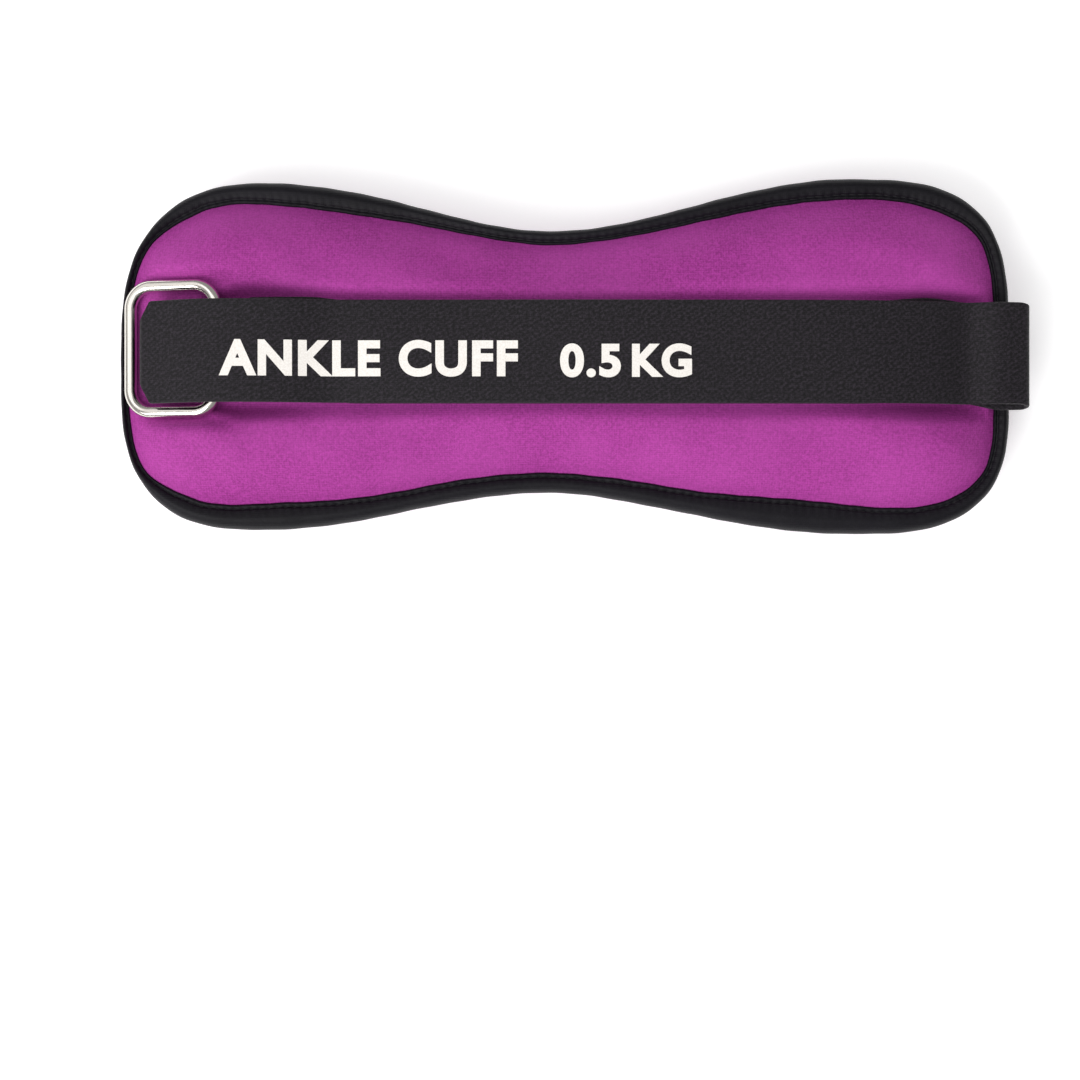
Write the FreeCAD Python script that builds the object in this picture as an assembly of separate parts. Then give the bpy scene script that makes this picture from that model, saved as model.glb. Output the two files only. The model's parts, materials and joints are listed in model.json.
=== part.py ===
import FreeCAD, Part
import math
import os

os.makedirs("parts", exist_ok=True)

V = FreeCAD.Vector

# Pad in plan (mm): an hourglass outline, 222 x 89 over the binding.
PAD_X = -1.85  # middle of the pad; the strap's fold reaches past the right end
PAD_HALF = 110.8  # from its middle to the right end
LOBE_X = (-75.0, 72.0)  # widest stations, from the middle of the pad
LOBE_Y = (43.3, 44.3)
WAIST_X = -4.0
WAIST_Y = {1: 31.2, -1: 34.0}
LEFT_HALF = 110.5
CORNER_FLAT = {(-1, 1): 2.0, (-1, -1): 6.5, (1, 1): 5.0, (1, -1): 12.0}  # by end and by edge
CORNER_POWER = {(-1, 1): 2.5, (-1, -1): 2.75, (1, 1): 3.05, (1, -1): 2.9}
WAIST_POWER = {(-1, 1): 0.88, (-1, -1): 1.0, (1, 1): 0.95, (1, -1): 0.88}

# Pad in section (mm).
MID_Z = 12.0  # where the two covers meet in the edge seam
COVER_T = 2.5
COVER_GAP = 0.25
BIND_W = 6.5
BIND_H = 9.0
BIND_T = 1.3
OUTER_RISE = 7.6
ANKLE_RISE = 11.2
EDGE_IN = 2.0  # the covers' edges lie this far inside the binding's outside
STRIP_Y = 13.5  # half width of the level strip under the webbing
CREASE_X = (-79.0, 84.0)  # ends of the centre crease, from the middle of the pad
CREASE_DEPTH = 1.6
CREASE_W = 9.0
SLIT_HALF = 9.6  # half length of the upright tack that holds the tab
SLIT_DEPTH = 0.5
SEAM_HALF = 1.5  # half width of the sewn line between the chambers

# Segments: the pad bends where two segments meet.
CUTS = (-113.5, -68.5, -24.0, 20.5, 65.0, 110.0)
CUT_GAP = 0.5
GAP = 0.3

# Webbing (mm).
WEB_W = 25.0
WEB_T = 1.2
PATCH_T = 0.8
PATCH_W = 22.0
STRAP_T = 1.3
FOLD_X = 110.35  # axis of the fold at the right end
FOLD_Z = 19.3
STRAP_CUTS = (36.0, -8.0)
TIP_X = -105.6
TIP_CLIP = 2.8

# Ring (mm).
WIRE_R = 1.5
RING_X = -87.0  # axis of the bar held in the tab
RING_Y = 1.1  # the ring and its tab sit a little off the centre line
RING_LEN = 22.4
RING_IN = 27.9
RING_CORNER = 5.5
RING_TILT = 13.0
TAB_END = -71.5
TAB_W = 17.5  # the webbing is gathered to fit between the ring's corners
TAB_PLAY = 0.25


def smooth(t):
    t = min(1.0, max(0.0, t))
    return t * t * (3.0 - 2.0 * t)


def half_width(x, side):
    """Distance of the outline from the centre line at x, measured from the pad's middle."""
    for lobe, wide, sign in ((LOBE_X[0], LOBE_Y[0], -1), (LOBE_X[1], LOBE_Y[1], 1)):
        out = sign * (x - lobe)
        if out >= 0:
            reach = PAD_HALF if sign > 0 else LEFT_HALF
            u = min(1.0, out / (reach - sign * lobe))
            flat, power = CORNER_FLAT[sign, side], CORNER_POWER[sign, side]
            return flat + (wide - flat) * (1.0 - u**power) ** (1.0 / power)
    i = 0 if x < WAIST_X else 1
    lobe, wide = LOBE_X[i], LOBE_Y[i]
    t = ((x - WAIST_X) / (lobe - WAIST_X)) ** WAIST_POWER[2 * i - 1, side]
    return WAIST_Y[side] + (wide - WAIST_Y[side]) * 0.5 * (1.0 - math.cos(math.pi * t))


def outline_points():
    """Points on the outline, anticlockwise from the middle of the right end."""
    turns = [1.0, 0.97, 0.87, 0.7, 0.5, 0.25]
    ends = [LOBE_X[1] + (PAD_HALF - LOBE_X[1]) * t for t in turns]
    inner = [LOBE_X[1] + (LOBE_X[0] - LOBE_X[1]) * i / 10 for i in range(11)]
    left = [LOBE_X[0] - (LEFT_HALF + LOBE_X[0]) * t for t in reversed(turns)]
    xs = ends + inner + left
    top = [V(PAD_X + x, half_width(x, 1), 0) for x in xs]
    bottom = [V(PAD_X + x, -half_width(x, -1), 0) for x in reversed(xs)]
    middle_left = V(PAD_X - LEFT_HALF, 0, 0)
    middle_right = V(PAD_X + PAD_HALF, 0, 0)
    return [middle_right] + top + [middle_left] + bottom


def outline(inset=0.0):
    """The pad's outline as a closed wire, moved inwards by inset."""
    curve = Part.BSplineCurve()
    curve.interpolate(outline_points(), PeriodicFlag=True)
    if not inset:
        return Part.Wire(curve.toShape())
    moved = []
    first, last = curve.FirstParameter, curve.LastParameter
    for i in range(64):
        p = first + (last - first) * i / 64
        tangent = curve.tangent(p)[0]
        moved.append(curve.value(p) + V(-tangent.y, tangent.x, 0) * inset)
    inner = Part.BSplineCurve()
    inner.interpolate(moved, PeriodicFlag=True)
    return Part.Wire(inner.toShape())


def prism(wire, low, high):
    """A solid between two heights over a closed flat wire."""
    face = Part.Face(wire)
    face.translate(V(0, 0, low))
    return face.extrude(V(0, 0, high - low))


def end_fall(x):
    """1 in the middle of the pad, 0 where the covers reach the end bindings."""
    u = min(1.0, abs(x) / (PAD_HALF - 7.5))
    return 1.0 - u**6


def outer_z(x, y):
    """Height of the outer cover's outside; x from the middle of the pad."""
    side = 1 if y >= 0 else -1
    edge = half_width(min(PAD_HALF, max(-PAD_HALF, x)), side) - BIND_W - 0.6
    v = min(1.0, max(0.0, abs(y) - STRIP_Y) / max(1.0, edge - STRIP_Y))
    crown = 1.0 - v**2.4 + 0.8 * v * (1.0 - v)
    return MID_Z + COVER_T + COVER_GAP + OUTER_RISE * end_fall(x) * crown


def ankle_z(x, y):
    """Height of the ankle cover's outside; x from the middle of the pad."""
    side = 1 if y >= 0 else -1
    edge = half_width(min(PAD_HALF, max(-PAD_HALF, x)), side) - BIND_W - 0.6
    v = min(1.0, abs(y) / max(1.0, edge))
    run = smooth((x - CREASE_X[0]) / 10.0) * smooth((CREASE_X[1] - x) / 20.0)
    crease = CREASE_DEPTH * run * max(0.0, 1.0 - abs(y) / CREASE_W) ** 2
    slit = max(0.0, 1.0 - abs(x - CREASE_X[0]) / 8.0) ** 2 * smooth((SLIT_HALF + 4.0 - abs(y)) / 4.0)
    fold = 1.0 - max(crease, SLIT_DEPTH * slit)
    return MID_Z - COVER_T - COVER_GAP - ANKLE_RISE * end_fall(x) * (1.0 - v**3) * fold


def surface(height, shift=0.0):
    """A face over the whole pad through the heights that a formula gives."""
    grid = []
    for i in range(57):
        x = -112.0 + 4.0 * i
        row = [V(PAD_X + x, -47.0 + 2.35 * j, height(x, -47.0 + 2.35 * j) + shift) for j in range(41)]
        grid.append(row)
    face = Part.BSplineSurface()
    face.interpolate(grid)
    return face.toShape()


def segment_box(i):
    """The space of one segment of the pad, above the ground."""
    low = CUTS[i] + CUT_GAP / 2
    high = CUTS[i + 1] - CUT_GAP / 2
    return Part.makeBox(high - low, 120, 60, V(low, -60, 0))


def covers():
    """Both covers of the whole pad, outer then ankle side."""
    body = prism(outline(EDGE_IN), -5, 40)
    outer = surface(outer_z).extrude(V(0, 0, -COVER_T)).common(body)
    ankle = surface(ankle_z).extrude(V(0, 0, COVER_T)).common(body)
    return outer, ankle


def sand_fill():
    """The fill of the two chambers, which the centre seam parts."""
    inside = prism(outline(BIND_W + 3.0), -5, 40)
    under = surface(outer_z, -COVER_T - 0.4).extrude(V(0, 0, -40))
    over = surface(ankle_z, COVER_T + 0.4).extrude(V(0, 0, 40))
    seam = Part.makeBox(CREASE_X[1] - CREASE_X[0], 2 * SEAM_HALF, 60, V(PAD_X + CREASE_X[0], -SEAM_HALF, -10))
    return under.common(over).common(inside).cut(seam)


def binding():
    """The padded edge: a rounded band folded over both covers' edges."""
    inset = BIND_W / 2
    path = outline(inset)
    x, z, r = PAD_X + PAD_HALF - inset, MID_Z, BIND_H / 2
    half = BIND_W / 2

    def section(a, b):
        return Part.Wire(Part.Ellipse(V(x, 0, z + b), V(x + a, 0, z), V(x, 0, z)).toShape())

    path.translate(V(0, 0, z))
    roll = path.makePipeShell([section(half, r)], True, False)
    slot = prism(outline(BIND_T + 0.2), z - COVER_T - 0.5, z + COVER_T + 0.5)
    return roll.cut(slot)


def ribbon(points, thickness, width, y=0.0):
    """A band whose middle line runs through points (x, z)."""
    line = Part.BSplineCurve()
    line.interpolate([V(px, y - width / 2, pz) for px, pz in points])
    sides = [[], []]
    steps = 8 * len(points)
    first, last = line.FirstParameter, line.LastParameter
    for i in range(steps + 1):
        p = first + (last - first) * i / steps
        tangent = line.tangent(p)[0]
        normal = V(-tangent.z, 0, tangent.x) * (thickness / 2)
        sides[0].append(line.value(p) + normal)
        sides[1].append(line.value(p) - normal)
    curves = []
    for side in sides:
        curve = Part.BSplineCurve()
        curve.interpolate(side)
        curves.append(curve)
    ends = [Part.makeLine(sides[0][k], sides[1][k]) for k in (0, -1)]
    wire = Part.Wire([curves[0].toShape(), ends[1], curves[1].toShape(), ends[0]])
    return Part.Face(wire).extrude(V(0, width, 0))


def cover_top(x):
    """Height of the outer face on the centre line at row x, over the end bindings too."""
    face = outer_z(x - PAD_X, 0.0)
    end = PAD_X + PAD_HALF - BIND_W
    rise = smooth((x - (end - 12.0)) / 10.0)
    return max(face, face * (1.0 - rise) + (MID_Z + BIND_H / 2) * rise)


def tab_centre():
    """Height of the ring bar's axis in the tab."""
    return cover_top(RING_X) + GAP + WEB_T + TAB_PLAY + WIRE_R


def base_line():
    """Middle line of the webbing sewn along the outer face, left to right."""
    xs = [TAB_END + 1.0] + [-62.0 + 12.0 * i for i in range(13)] + [90.0, 97.0, 102.0, FOLD_X - 2.6]
    points = [(x, cover_top(x) + GAP + WEB_T / 2) for x in xs[:-1]]
    return points + [(xs[-1], FOLD_Z - 1.3)]


def tab():
    """The end of the webbing, folded round the ring's bar and sewn down."""
    radius = WIRE_R + TAB_PLAY + WEB_T / 2
    z = tab_centre()
    low = [(x, cover_top(x) + GAP + WEB_T / 2) for x in (TAB_END, -77.0, -82.0)]
    turn = [(RING_X - radius * math.cos(a), z - radius * math.sin(a)) for a in (1.57, 0.8, 0.0, -0.8, -1.57)]
    top_z = cover_top(TAB_END) + GAP + WEB_T * 1.5 + 0.05
    top = [(-82.5, z + radius - 0.35), (-77.5, top_z + 0.7), (TAB_END, top_z)]
    return ribbon(low + turn + top, WEB_T, TAB_W, RING_Y)


def strap_line():
    """Middle line of the strap, from the fold at the right end to the tip."""
    lift = GAP + WEB_T + GAP + PATCH_T + 0.05 + STRAP_T / 2
    fold = [(FOLD_X + 1.35 * math.sin(a), FOLD_Z - 1.35 * math.cos(a)) for a in (0.0, 0.8, 1.57, 2.3, 3.14)]
    run = [(x, cover_top(x) + lift) for x in (97.0, 89.0, 77.0, 63.0)]
    run += [(x, cover_top(x) + lift) for x in (50.0, 36.0, 18.0, 0.0, -18.0, -34.0, -48.0, -58.0)]
    over_tab = tab_centre() + WIRE_R + TAB_PLAY + WEB_T + GAP + PATCH_T + 0.05 + STRAP_T / 2
    end = [(-70.0, over_tab - 0.6), (-79.0, over_tab + 0.15), (-87.0, over_tab)]
    end += [(-94.0, over_tab - 1.6), (-100.0, over_tab - 4.0), (TIP_X, over_tab - 6.0)]
    return fold + [(104.0, FOLD_Z + 2.1)] + run + end


def strap_pieces():
    """The strap cut into three lengths, with its tip corners clipped."""
    whole = ribbon(strap_line(), STRAP_T, WEB_W)
    for side in (1, -1):
        corner = [V(TIP_X - 2, side * 13, 0), V(TIP_X - 2, side * (12.5 - TIP_CLIP), 0)]
        corner += [V(TIP_X + TIP_CLIP, side * 13, 0), V(TIP_X - 2, side * 13, 0)]
        whole = whole.cut(prism(Part.makePolygon(corner), 0, 60))
    pieces = []
    for high, low in ((130.0, STRAP_CUTS[0]), STRAP_CUTS, (STRAP_CUTS[1], -130.0)):
        box = Part.makeBox(high - low - GAP, 60, 80, V(low + GAP / 2, -30, -5))
        pieces.append(whole.common(box))
    return pieces


def patch(low, high):
    """A hook or loop patch under the strap between two stations."""
    under = [(x, z - STRAP_T / 2 - PATCH_T / 2 - 0.08) for x, z in strap_line()[6:]]
    whole = ribbon(under, PATCH_T, PATCH_W).cut(ribbon(strap_line(), STRAP_T, WEB_W))
    return whole.common(Part.makeBox(high - low, 60, 80, V(low, -30, -5)))


def ring():
    """The wire ring, lying on the pad's left end, its right bar in the tab."""
    z = tab_centre()
    a, b, r = RING_LEN, RING_IN / 2 + WIRE_R, RING_CORNER
    flat = [V(0, b - r, 0), V(0, r - b, 0), V(-r, -b, 0), V(r - a, -b, 0)]
    flat += [V(-a, r - b, 0), V(-a, b - r, 0), V(r - a, b, 0), V(-r, b, 0)]
    k = r * (1.0 - math.sqrt(0.5))
    mids = [V(-k, k - b, 0), V(k - a, k - b, 0), V(k - a, b - k, 0), V(-k, b - k, 0)]
    edges = []
    for i in range(4):
        edges.append(Part.makeLine(flat[2 * i], flat[2 * i + 1]))
        edges.append(Part.Arc(flat[2 * i + 1], mids[i], flat[(2 * i + 2) % 8]).toShape())
    path = Part.Wire(edges)
    circle = Part.Wire(Part.makeCircle(WIRE_R, V(0, 0, 0), V(0, 1, 0)))
    shape = path.makePipeShell([circle], True, True)
    shape.rotate(V(0, 0, 0), V(0, 1, 0), -RING_TILT)
    shape.translate(V(RING_X, RING_Y, z))
    return shape


def seam_thread(i):
    """Stitches at the bottom of the crease on the ankle side, in one segment."""
    low = max(CUTS[i] + 1.5, PAD_X + CREASE_X[0] + 4.0)
    high = min(CUTS[i + 1] - 1.5, PAD_X + CREASE_X[1] - 6.0)
    count = int((high - low) // 4.2)
    stitches = []
    for k in range(count):
        x = low + (high - low) * (k + 0.5) / count
        z = min(ankle_z(x - PAD_X + dx, 0.0) for dx in (-2.0, 0.0, 2.0)) - 0.8
        stitches.append(Part.makeCylinder(0.35, 3.2, V(x - 1.6, 0, z), V(1, 0, 0)))
    return Part.makeCompound(stitches)


def bartack():
    """The upright row of close stitches that holds the tab through the pad."""
    x = PAD_X + CREASE_X[0]
    stitches = []
    for k in range(13):
        y = -9.0 + 1.5 * k
        depth = min(ankle_z(x - PAD_X + dx, y) for dx in (-1.4, -0.7, 0.0, 0.7, 1.4))
        stitches.append(Part.makeCylinder(0.35, 2.4, V(x - 1.2, y, depth - 1.0), V(1, 0, 0)))
    return Part.makeCompound(stitches)


def print_plates(low, high, count, height):
    """Printed marks on the strap: one thin plate for each character."""
    pitch = (high - low) / count
    layer = ribbon([(x, z + STRAP_T / 2 + 0.07) for x, z in strap_line()[6:]], 0.1, height)
    plates = []
    for k in range(count):
        box = Part.makeBox(0.76 * pitch, 20, 60, V(low + pitch * (k + 0.12), -10, 0))
        plates.append(layer.common(box))
    return Part.makeCompound(plates)


def export(name, shape):
    shape.exportStep("parts/%s.step" % name)
    print("%-18s solids %d volume %.1f valid %s" % (name, len(shape.Solids), shape.Volume, shape.isValid()))


def main():
    outer, ankle = covers()
    sand = sand_fill()
    edge = binding()
    webbing = ribbon(base_line(), WEB_T, WEB_W)
    for i in range(5):
        box = segment_box(i)
        export("outer_cover_%d" % (i + 1), outer.common(box))
        export("ankle_cover_%d" % (i + 1), ankle.common(box))
        export("edge_binding_%d" % (i + 1), edge.common(box))
        export("iron_sand_%d" % (i + 1), sand.common(box))
        export("seam_thread_%d" % (i + 1), seam_thread(i))
        reach = box if i < 4 else Part.makeBox(60, 60, 60, V(CUTS[4] + CUT_GAP / 2, -30, 0))
        export("base_webbing_%d" % (i + 1), webbing.common(reach))
    export("ring_tab", tab())
    export("tab_bartack", bartack())
    export("ring", ring())
    root, middle, tip = strap_pieces()
    export("strap_root", root)
    export("strap_middle", middle)
    export("strap_tip", tip)
    export("loop_patch_root", patch(STRAP_CUTS[0] + 1.0, 90.0))
    export("loop_patch_middle", patch(STRAP_CUTS[1] + 1.0, STRAP_CUTS[0] - 1.0))
    export("loop_patch_tip", patch(-45.0, STRAP_CUTS[1] - 1.0))
    export("hook_patch", patch(-101.0, -50.0))
    export("word_mark", print_plates(-85.0, -13.5, 10, 8.6))
    export("weight_mark", print_plates(-3.1, 28.8, 5, 7.7))


main()
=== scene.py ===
"""Looks of an ankle cuff weight: a filled pad with a rolled edge, a folded strap and a wire ring."""

from __future__ import annotations

import json
import logging
import math
from collections.abc import Callable
from dataclasses import dataclass, field
from enum import Enum

import bmesh
import bpy
import numpy as np
from mathutils import Matrix, Vector

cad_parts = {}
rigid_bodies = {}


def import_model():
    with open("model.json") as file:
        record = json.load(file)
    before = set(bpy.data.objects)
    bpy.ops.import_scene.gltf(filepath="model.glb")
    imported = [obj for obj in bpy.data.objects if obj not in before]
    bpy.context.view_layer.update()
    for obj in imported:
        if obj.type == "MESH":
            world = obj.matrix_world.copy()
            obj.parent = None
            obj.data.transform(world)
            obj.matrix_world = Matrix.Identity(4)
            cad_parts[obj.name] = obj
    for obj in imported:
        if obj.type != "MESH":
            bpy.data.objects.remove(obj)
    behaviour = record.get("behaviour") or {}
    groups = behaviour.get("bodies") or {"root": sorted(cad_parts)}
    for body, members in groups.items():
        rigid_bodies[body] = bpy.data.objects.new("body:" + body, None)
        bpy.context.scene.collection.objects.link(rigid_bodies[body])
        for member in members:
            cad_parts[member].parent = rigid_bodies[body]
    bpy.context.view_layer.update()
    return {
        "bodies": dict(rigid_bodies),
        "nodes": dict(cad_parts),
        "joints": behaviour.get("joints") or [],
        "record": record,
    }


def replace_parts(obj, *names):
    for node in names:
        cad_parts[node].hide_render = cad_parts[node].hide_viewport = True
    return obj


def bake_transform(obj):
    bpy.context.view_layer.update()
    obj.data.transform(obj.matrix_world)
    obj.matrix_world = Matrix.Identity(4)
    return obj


MM = 0.001
SEED = 7
log = logging.getLogger("cuff")
Attach = Callable[[bpy.types.Object], None]  # handed each finished piece; bakes its transform into its mesh

# Sizes shared with the solids, in millimetres.
CUTS = (-113.5, -68.5, -24.0, 20.5, 65.0, 110.0)  # where the pad's lengths meet
STRIP_ENDS = (-46.25, -1.75, 42.75)  # middles of the inner lengths, where the covers are parted
FOLD_X, FOLD_Z = 110.35, 19.3
STRAP_SPLIT = 14.0  # between the two curling joints
WEB_W, WEB_T, STRAP_T, PATCH_T, GAP = 25.0, 1.2, 1.3, 0.8, 0.3
WIRE_R, RING_X, RING_Y, RING_TILT = 1.5, -87.0, 1.1, 13.0
TAB_END, TIP_X, TIP_CLIP = -71.5, -105.6, 2.8


class Side(Enum):
    """The two faces of the pad."""

    OUTER = 1
    ANKLE = -1


def smooth(t: np.ndarray | float) -> np.ndarray | float:
    """Smoothstep of t held between 0 and 1."""
    t = np.clip(t, 0.0, 1.0)
    return t * t * (3.0 - 2.0 * t)


# ---------------------------------------------------------------- materials


def linear(hex_colour: str) -> tuple[float, float, float, float]:
    """Turns an sRGB hex colour into linear values.

    Args:
        hex_colour: Six hex digits after a hash sign.
    Returns:
        Linear red, green, blue and an alpha of 1.
    """
    parts = [int(hex_colour[i : i + 2], 16) / 255.0 for i in (1, 3, 5)]
    done = [c / 12.92 if c <= 0.04045 else ((c + 0.055) / 1.055) ** 2.4 for c in parts]
    return (done[0], done[1], done[2], 1.0)


def add_node(tree: bpy.types.NodeTree, kind: str, links: dict | None = None, **settings) -> bpy.types.Node:
    """Adds a node with its settings and inputs.

    Args:
        tree: The node tree that gets the node.
        kind: The node's type name.
        links: Input name or number to a value, or to an output socket to link.
        settings: Properties of the node.
    Returns:
        The new node.
    """
    node = tree.nodes.new(kind)
    for name, value in settings.items():
        setattr(node, name, value)
    for key, value in (links or {}).items():
        if isinstance(value, bpy.types.NodeSocket):
            tree.links.new(value, node.inputs[key])
        else:
            node.inputs[key].default_value = value
    return node


def new_material(name: str) -> tuple[bpy.types.Material, bpy.types.NodeTree, bpy.types.Node]:
    """Makes a material and gives it with its tree and shader."""
    material = bpy.data.materials.new(name)
    material.use_nodes = True
    tree = material.node_tree
    return material, tree, tree.nodes["Principled BSDF"]


def wave(tree: bpy.types.NodeTree, place: bpy.types.NodeSocket, pitch_mm: float) -> bpy.types.NodeSocket:
    """A sine along a place in metres, with its pitch in millimetres."""
    turns = add_node(tree, "ShaderNodeMath", {0: place, 1: math.tau / (pitch_mm * MM)}, operation="MULTIPLY")
    return add_node(tree, "ShaderNodeMath", {0: turns.outputs[0]}, operation="SINE").outputs[0]


def weighted(
    tree: bpy.types.NodeTree, a: bpy.types.NodeSocket, share_a: float, b: bpy.types.NodeSocket, share_b: float
) -> bpy.types.NodeSocket:
    """Adds two patterns, each by its share.

    Args:
        tree: The node tree.
        a: The first pattern.
        share_a: The first pattern's share.
        b: The second pattern.
        share_b: The second pattern's share.
    Returns:
        The socket of the sum.
    """
    part = add_node(tree, "ShaderNodeMath", {0: b, 1: share_b}, operation="MULTIPLY").outputs[0]
    return add_node(tree, "ShaderNodeMath", {0: a, 1: share_a, 2: part}, operation="MULTIPLY_ADD").outputs[0]


def two_tone(
    tree: bpy.types.NodeTree, pattern: bpy.types.NodeSocket, span: tuple[float, float], deep: str, colour: str
) -> bpy.types.NodeSocket:
    """Turns a pattern into a colour between a deep and a full tone.

    Args:
        tree: The node tree.
        pattern: The pattern's socket.
        span: The pattern's values for the deep and for the full tone.
        deep: The deep tone, as hex.
        colour: The full tone, as hex.
    Returns:
        The colour's socket.
    """
    stretch = {0: pattern, 1: span[0], 2: span[1], 3: 0.0, 4: 1.0}
    tone = add_node(tree, "ShaderNodeMapRange", stretch).outputs[0]
    ends = {0: tone, 6: linear(deep), 7: linear(colour)}
    return add_node(tree, "ShaderNodeMix", ends, data_type="RGBA").outputs[2]


@dataclass(frozen=True)
class JerseyFoam:
    """Chloroprene foam rubber faced with fine nylon jersey: matt, with a soft bloom at grazing angles."""

    name: str
    colour: str
    deep: str
    bloom: str
    wale_mm: float = 0.62  # real loops are about 0.3 mm, drawn at twice that so that they show
    course_mm: float = 0.46
    roughness: float = 0.78
    sheen: float = 0.35
    depth_mm: float = 0.035
    gloss: float = 0.25
    tone_span: tuple[float, float] = (0.36, 0.66)

    def build(self) -> bpy.types.Material:
        """Builds the knit: rows of loops as bump and tone, blotches of wear, and a sheen."""
        material, tree, shader = new_material(self.name)
        place = add_node(tree, "ShaderNodeTexCoord").outputs["Object"]
        split = add_node(tree, "ShaderNodeSeparateXYZ", {0: place})
        wander = add_node(tree, "ShaderNodeTexNoise", {"Vector": place, "Scale": 160.0, "Detail": 2.0})
        rows = []
        for axis, stray, pitch in (("X", 0.00045, self.wale_mm), ("Y", 0.0006, self.course_mm)):
            bent = {0: wander.outputs["Fac"], 1: stray, 2: split.outputs[axis]}
            line = add_node(tree, "ShaderNodeMath", bent, operation="MULTIPLY_ADD").outputs[0]
            rows.append(wave(tree, line, pitch))
        loops = weighted(tree, rows[1], 0.65, rows[0], 0.35)
        fine = {"Vector": place, "Scale": 1500.0, "Detail": 4.0, "Roughness": 0.75}
        grain = add_node(tree, "ShaderNodeTexNoise", fine).outputs["Fac"]
        blotch = add_node(tree, "ShaderNodeTexNoise", {"Vector": place, "Scale": 38.0, "Detail": 3.0})
        body = two_tone(tree, weighted(tree, loops, 0.07, grain, 1.0), self.tone_span, self.deep, self.colour)
        stretch = {0: blotch.outputs["Fac"], 1: 0.35, 2: 0.7, 3: 0.0, 4: 0.35}
        soft = add_node(tree, "ShaderNodeMapRange", stretch)
        worn = {0: soft.outputs[0], 6: body, 7: linear(self.bloom)}
        body = add_node(tree, "ShaderNodeMix", worn, data_type="RGBA").outputs[2]
        tree.links.new(body, shader.inputs["Base Color"])
        height = weighted(tree, loops, 0.5, grain, 1.2)
        relief = {"Height": height, "Strength": 0.8, "Distance": self.depth_mm * MM}
        bump = add_node(tree, "ShaderNodeBump", relief)
        tree.links.new(bump.outputs[0], shader.inputs["Normal"])
        shader.inputs["Roughness"].default_value = self.roughness
        shader.inputs["Specular IOR Level"].default_value = self.gloss
        shader.inputs["Sheen Weight"].default_value = self.sheen
        shader.inputs["Sheen Roughness"].default_value = 0.45
        shader.inputs["Sheen Tint"].default_value = linear(self.bloom)
        return material


@dataclass(frozen=True)
class TwillWebbing:
    """Woven polyester webbing: fine ribs that run aslant, a dry charcoal black with a faint silk glint."""

    name: str
    colour: str
    deep: str
    rib_mm: float = 1.15
    yarn_mm: float = 0.5
    roughness: float = 0.62
    depth_mm: float = 0.06
    slope: float = 0.62
    tone_span: tuple[float, float] = (0.44, 0.64)

    def build(self) -> bpy.types.Material:
        """Builds the weave on the piece's own UV map, which is in metres along and across."""
        material, tree, shader = new_material(self.name)
        uv = add_node(tree, "ShaderNodeTexCoord").outputs["UV"]
        split = add_node(tree, "ShaderNodeSeparateXYZ", {0: uv})
        wander = add_node(tree, "ShaderNodeTexNoise", {"Vector": uv, "Scale": 420.0, "Detail": 2.0})
        slant = weighted(tree, split.outputs["X"], self.slope, split.outputs["Y"], 1.0)
        bent = {0: wander.outputs["Fac"], 1: 0.0012, 2: slant}
        slant = add_node(tree, "ShaderNodeMath", bent, operation="MULTIPLY_ADD").outputs[0]
        rib, yarn = wave(tree, slant, self.rib_mm), wave(tree, split.outputs["Y"], self.yarn_mm)
        weave = weighted(tree, rib, 0.6, yarn, 0.4)
        fine = {"Vector": uv, "Scale": 1250.0, "Detail": 4.0, "Roughness": 0.85}
        grain = add_node(tree, "ShaderNodeTexNoise", fine).outputs["Fac"]
        body = two_tone(tree, weighted(tree, weave, 0.05, grain, 1.0), self.tone_span, self.deep, self.colour)
        tree.links.new(body, shader.inputs["Base Color"])
        height = weighted(tree, weave, 0.3, grain, 1.3)
        relief = {"Height": height, "Strength": 0.9, "Distance": self.depth_mm * MM}
        bump = add_node(tree, "ShaderNodeBump", relief)
        tree.links.new(bump.outputs[0], shader.inputs["Normal"])
        shader.inputs["Roughness"].default_value = self.roughness
        shader.inputs["Specular IOR Level"].default_value = 0.22
        shader.inputs["Sheen Weight"].default_value = 0.1
        shader.inputs["Sheen Roughness"].default_value = 0.5
        return material


@dataclass(frozen=True)
class NickelWire:
    """Steel wire with bright nickel plate: a mirror softened by drawing marks and fine scratches."""

    name: str = "bright_nickel_plate"
    colour: str = "#D9D4CC"
    roughness: float = 0.16

    def build(self) -> bpy.types.Material:
        """Builds the plate, with faint streaks in its roughness."""
        material, tree, shader = new_material(self.name)
        place = add_node(tree, "ShaderNodeTexCoord").outputs["Object"]
        streak = add_node(tree, "ShaderNodeTexNoise", {"Vector": place, "Scale": 900.0, "Detail": 4.0})
        span = {0: streak.outputs["Fac"], 1: 0.3, 2: 0.7, 3: self.roughness - 0.05, 4: self.roughness + 0.1}
        rough = add_node(tree, "ShaderNodeMapRange", span)
        tree.links.new(rough.outputs[0], shader.inputs["Roughness"])
        relief = {"Height": streak.outputs["Fac"], "Strength": 0.25, "Distance": 0.008 * MM}
        bump = add_node(tree, "ShaderNodeBump", relief)
        tree.links.new(bump.outputs[0], shader.inputs["Normal"])
        shader.inputs["Base Color"].default_value = linear(self.colour)
        shader.inputs["Metallic"].default_value = 1.0
        return material


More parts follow.
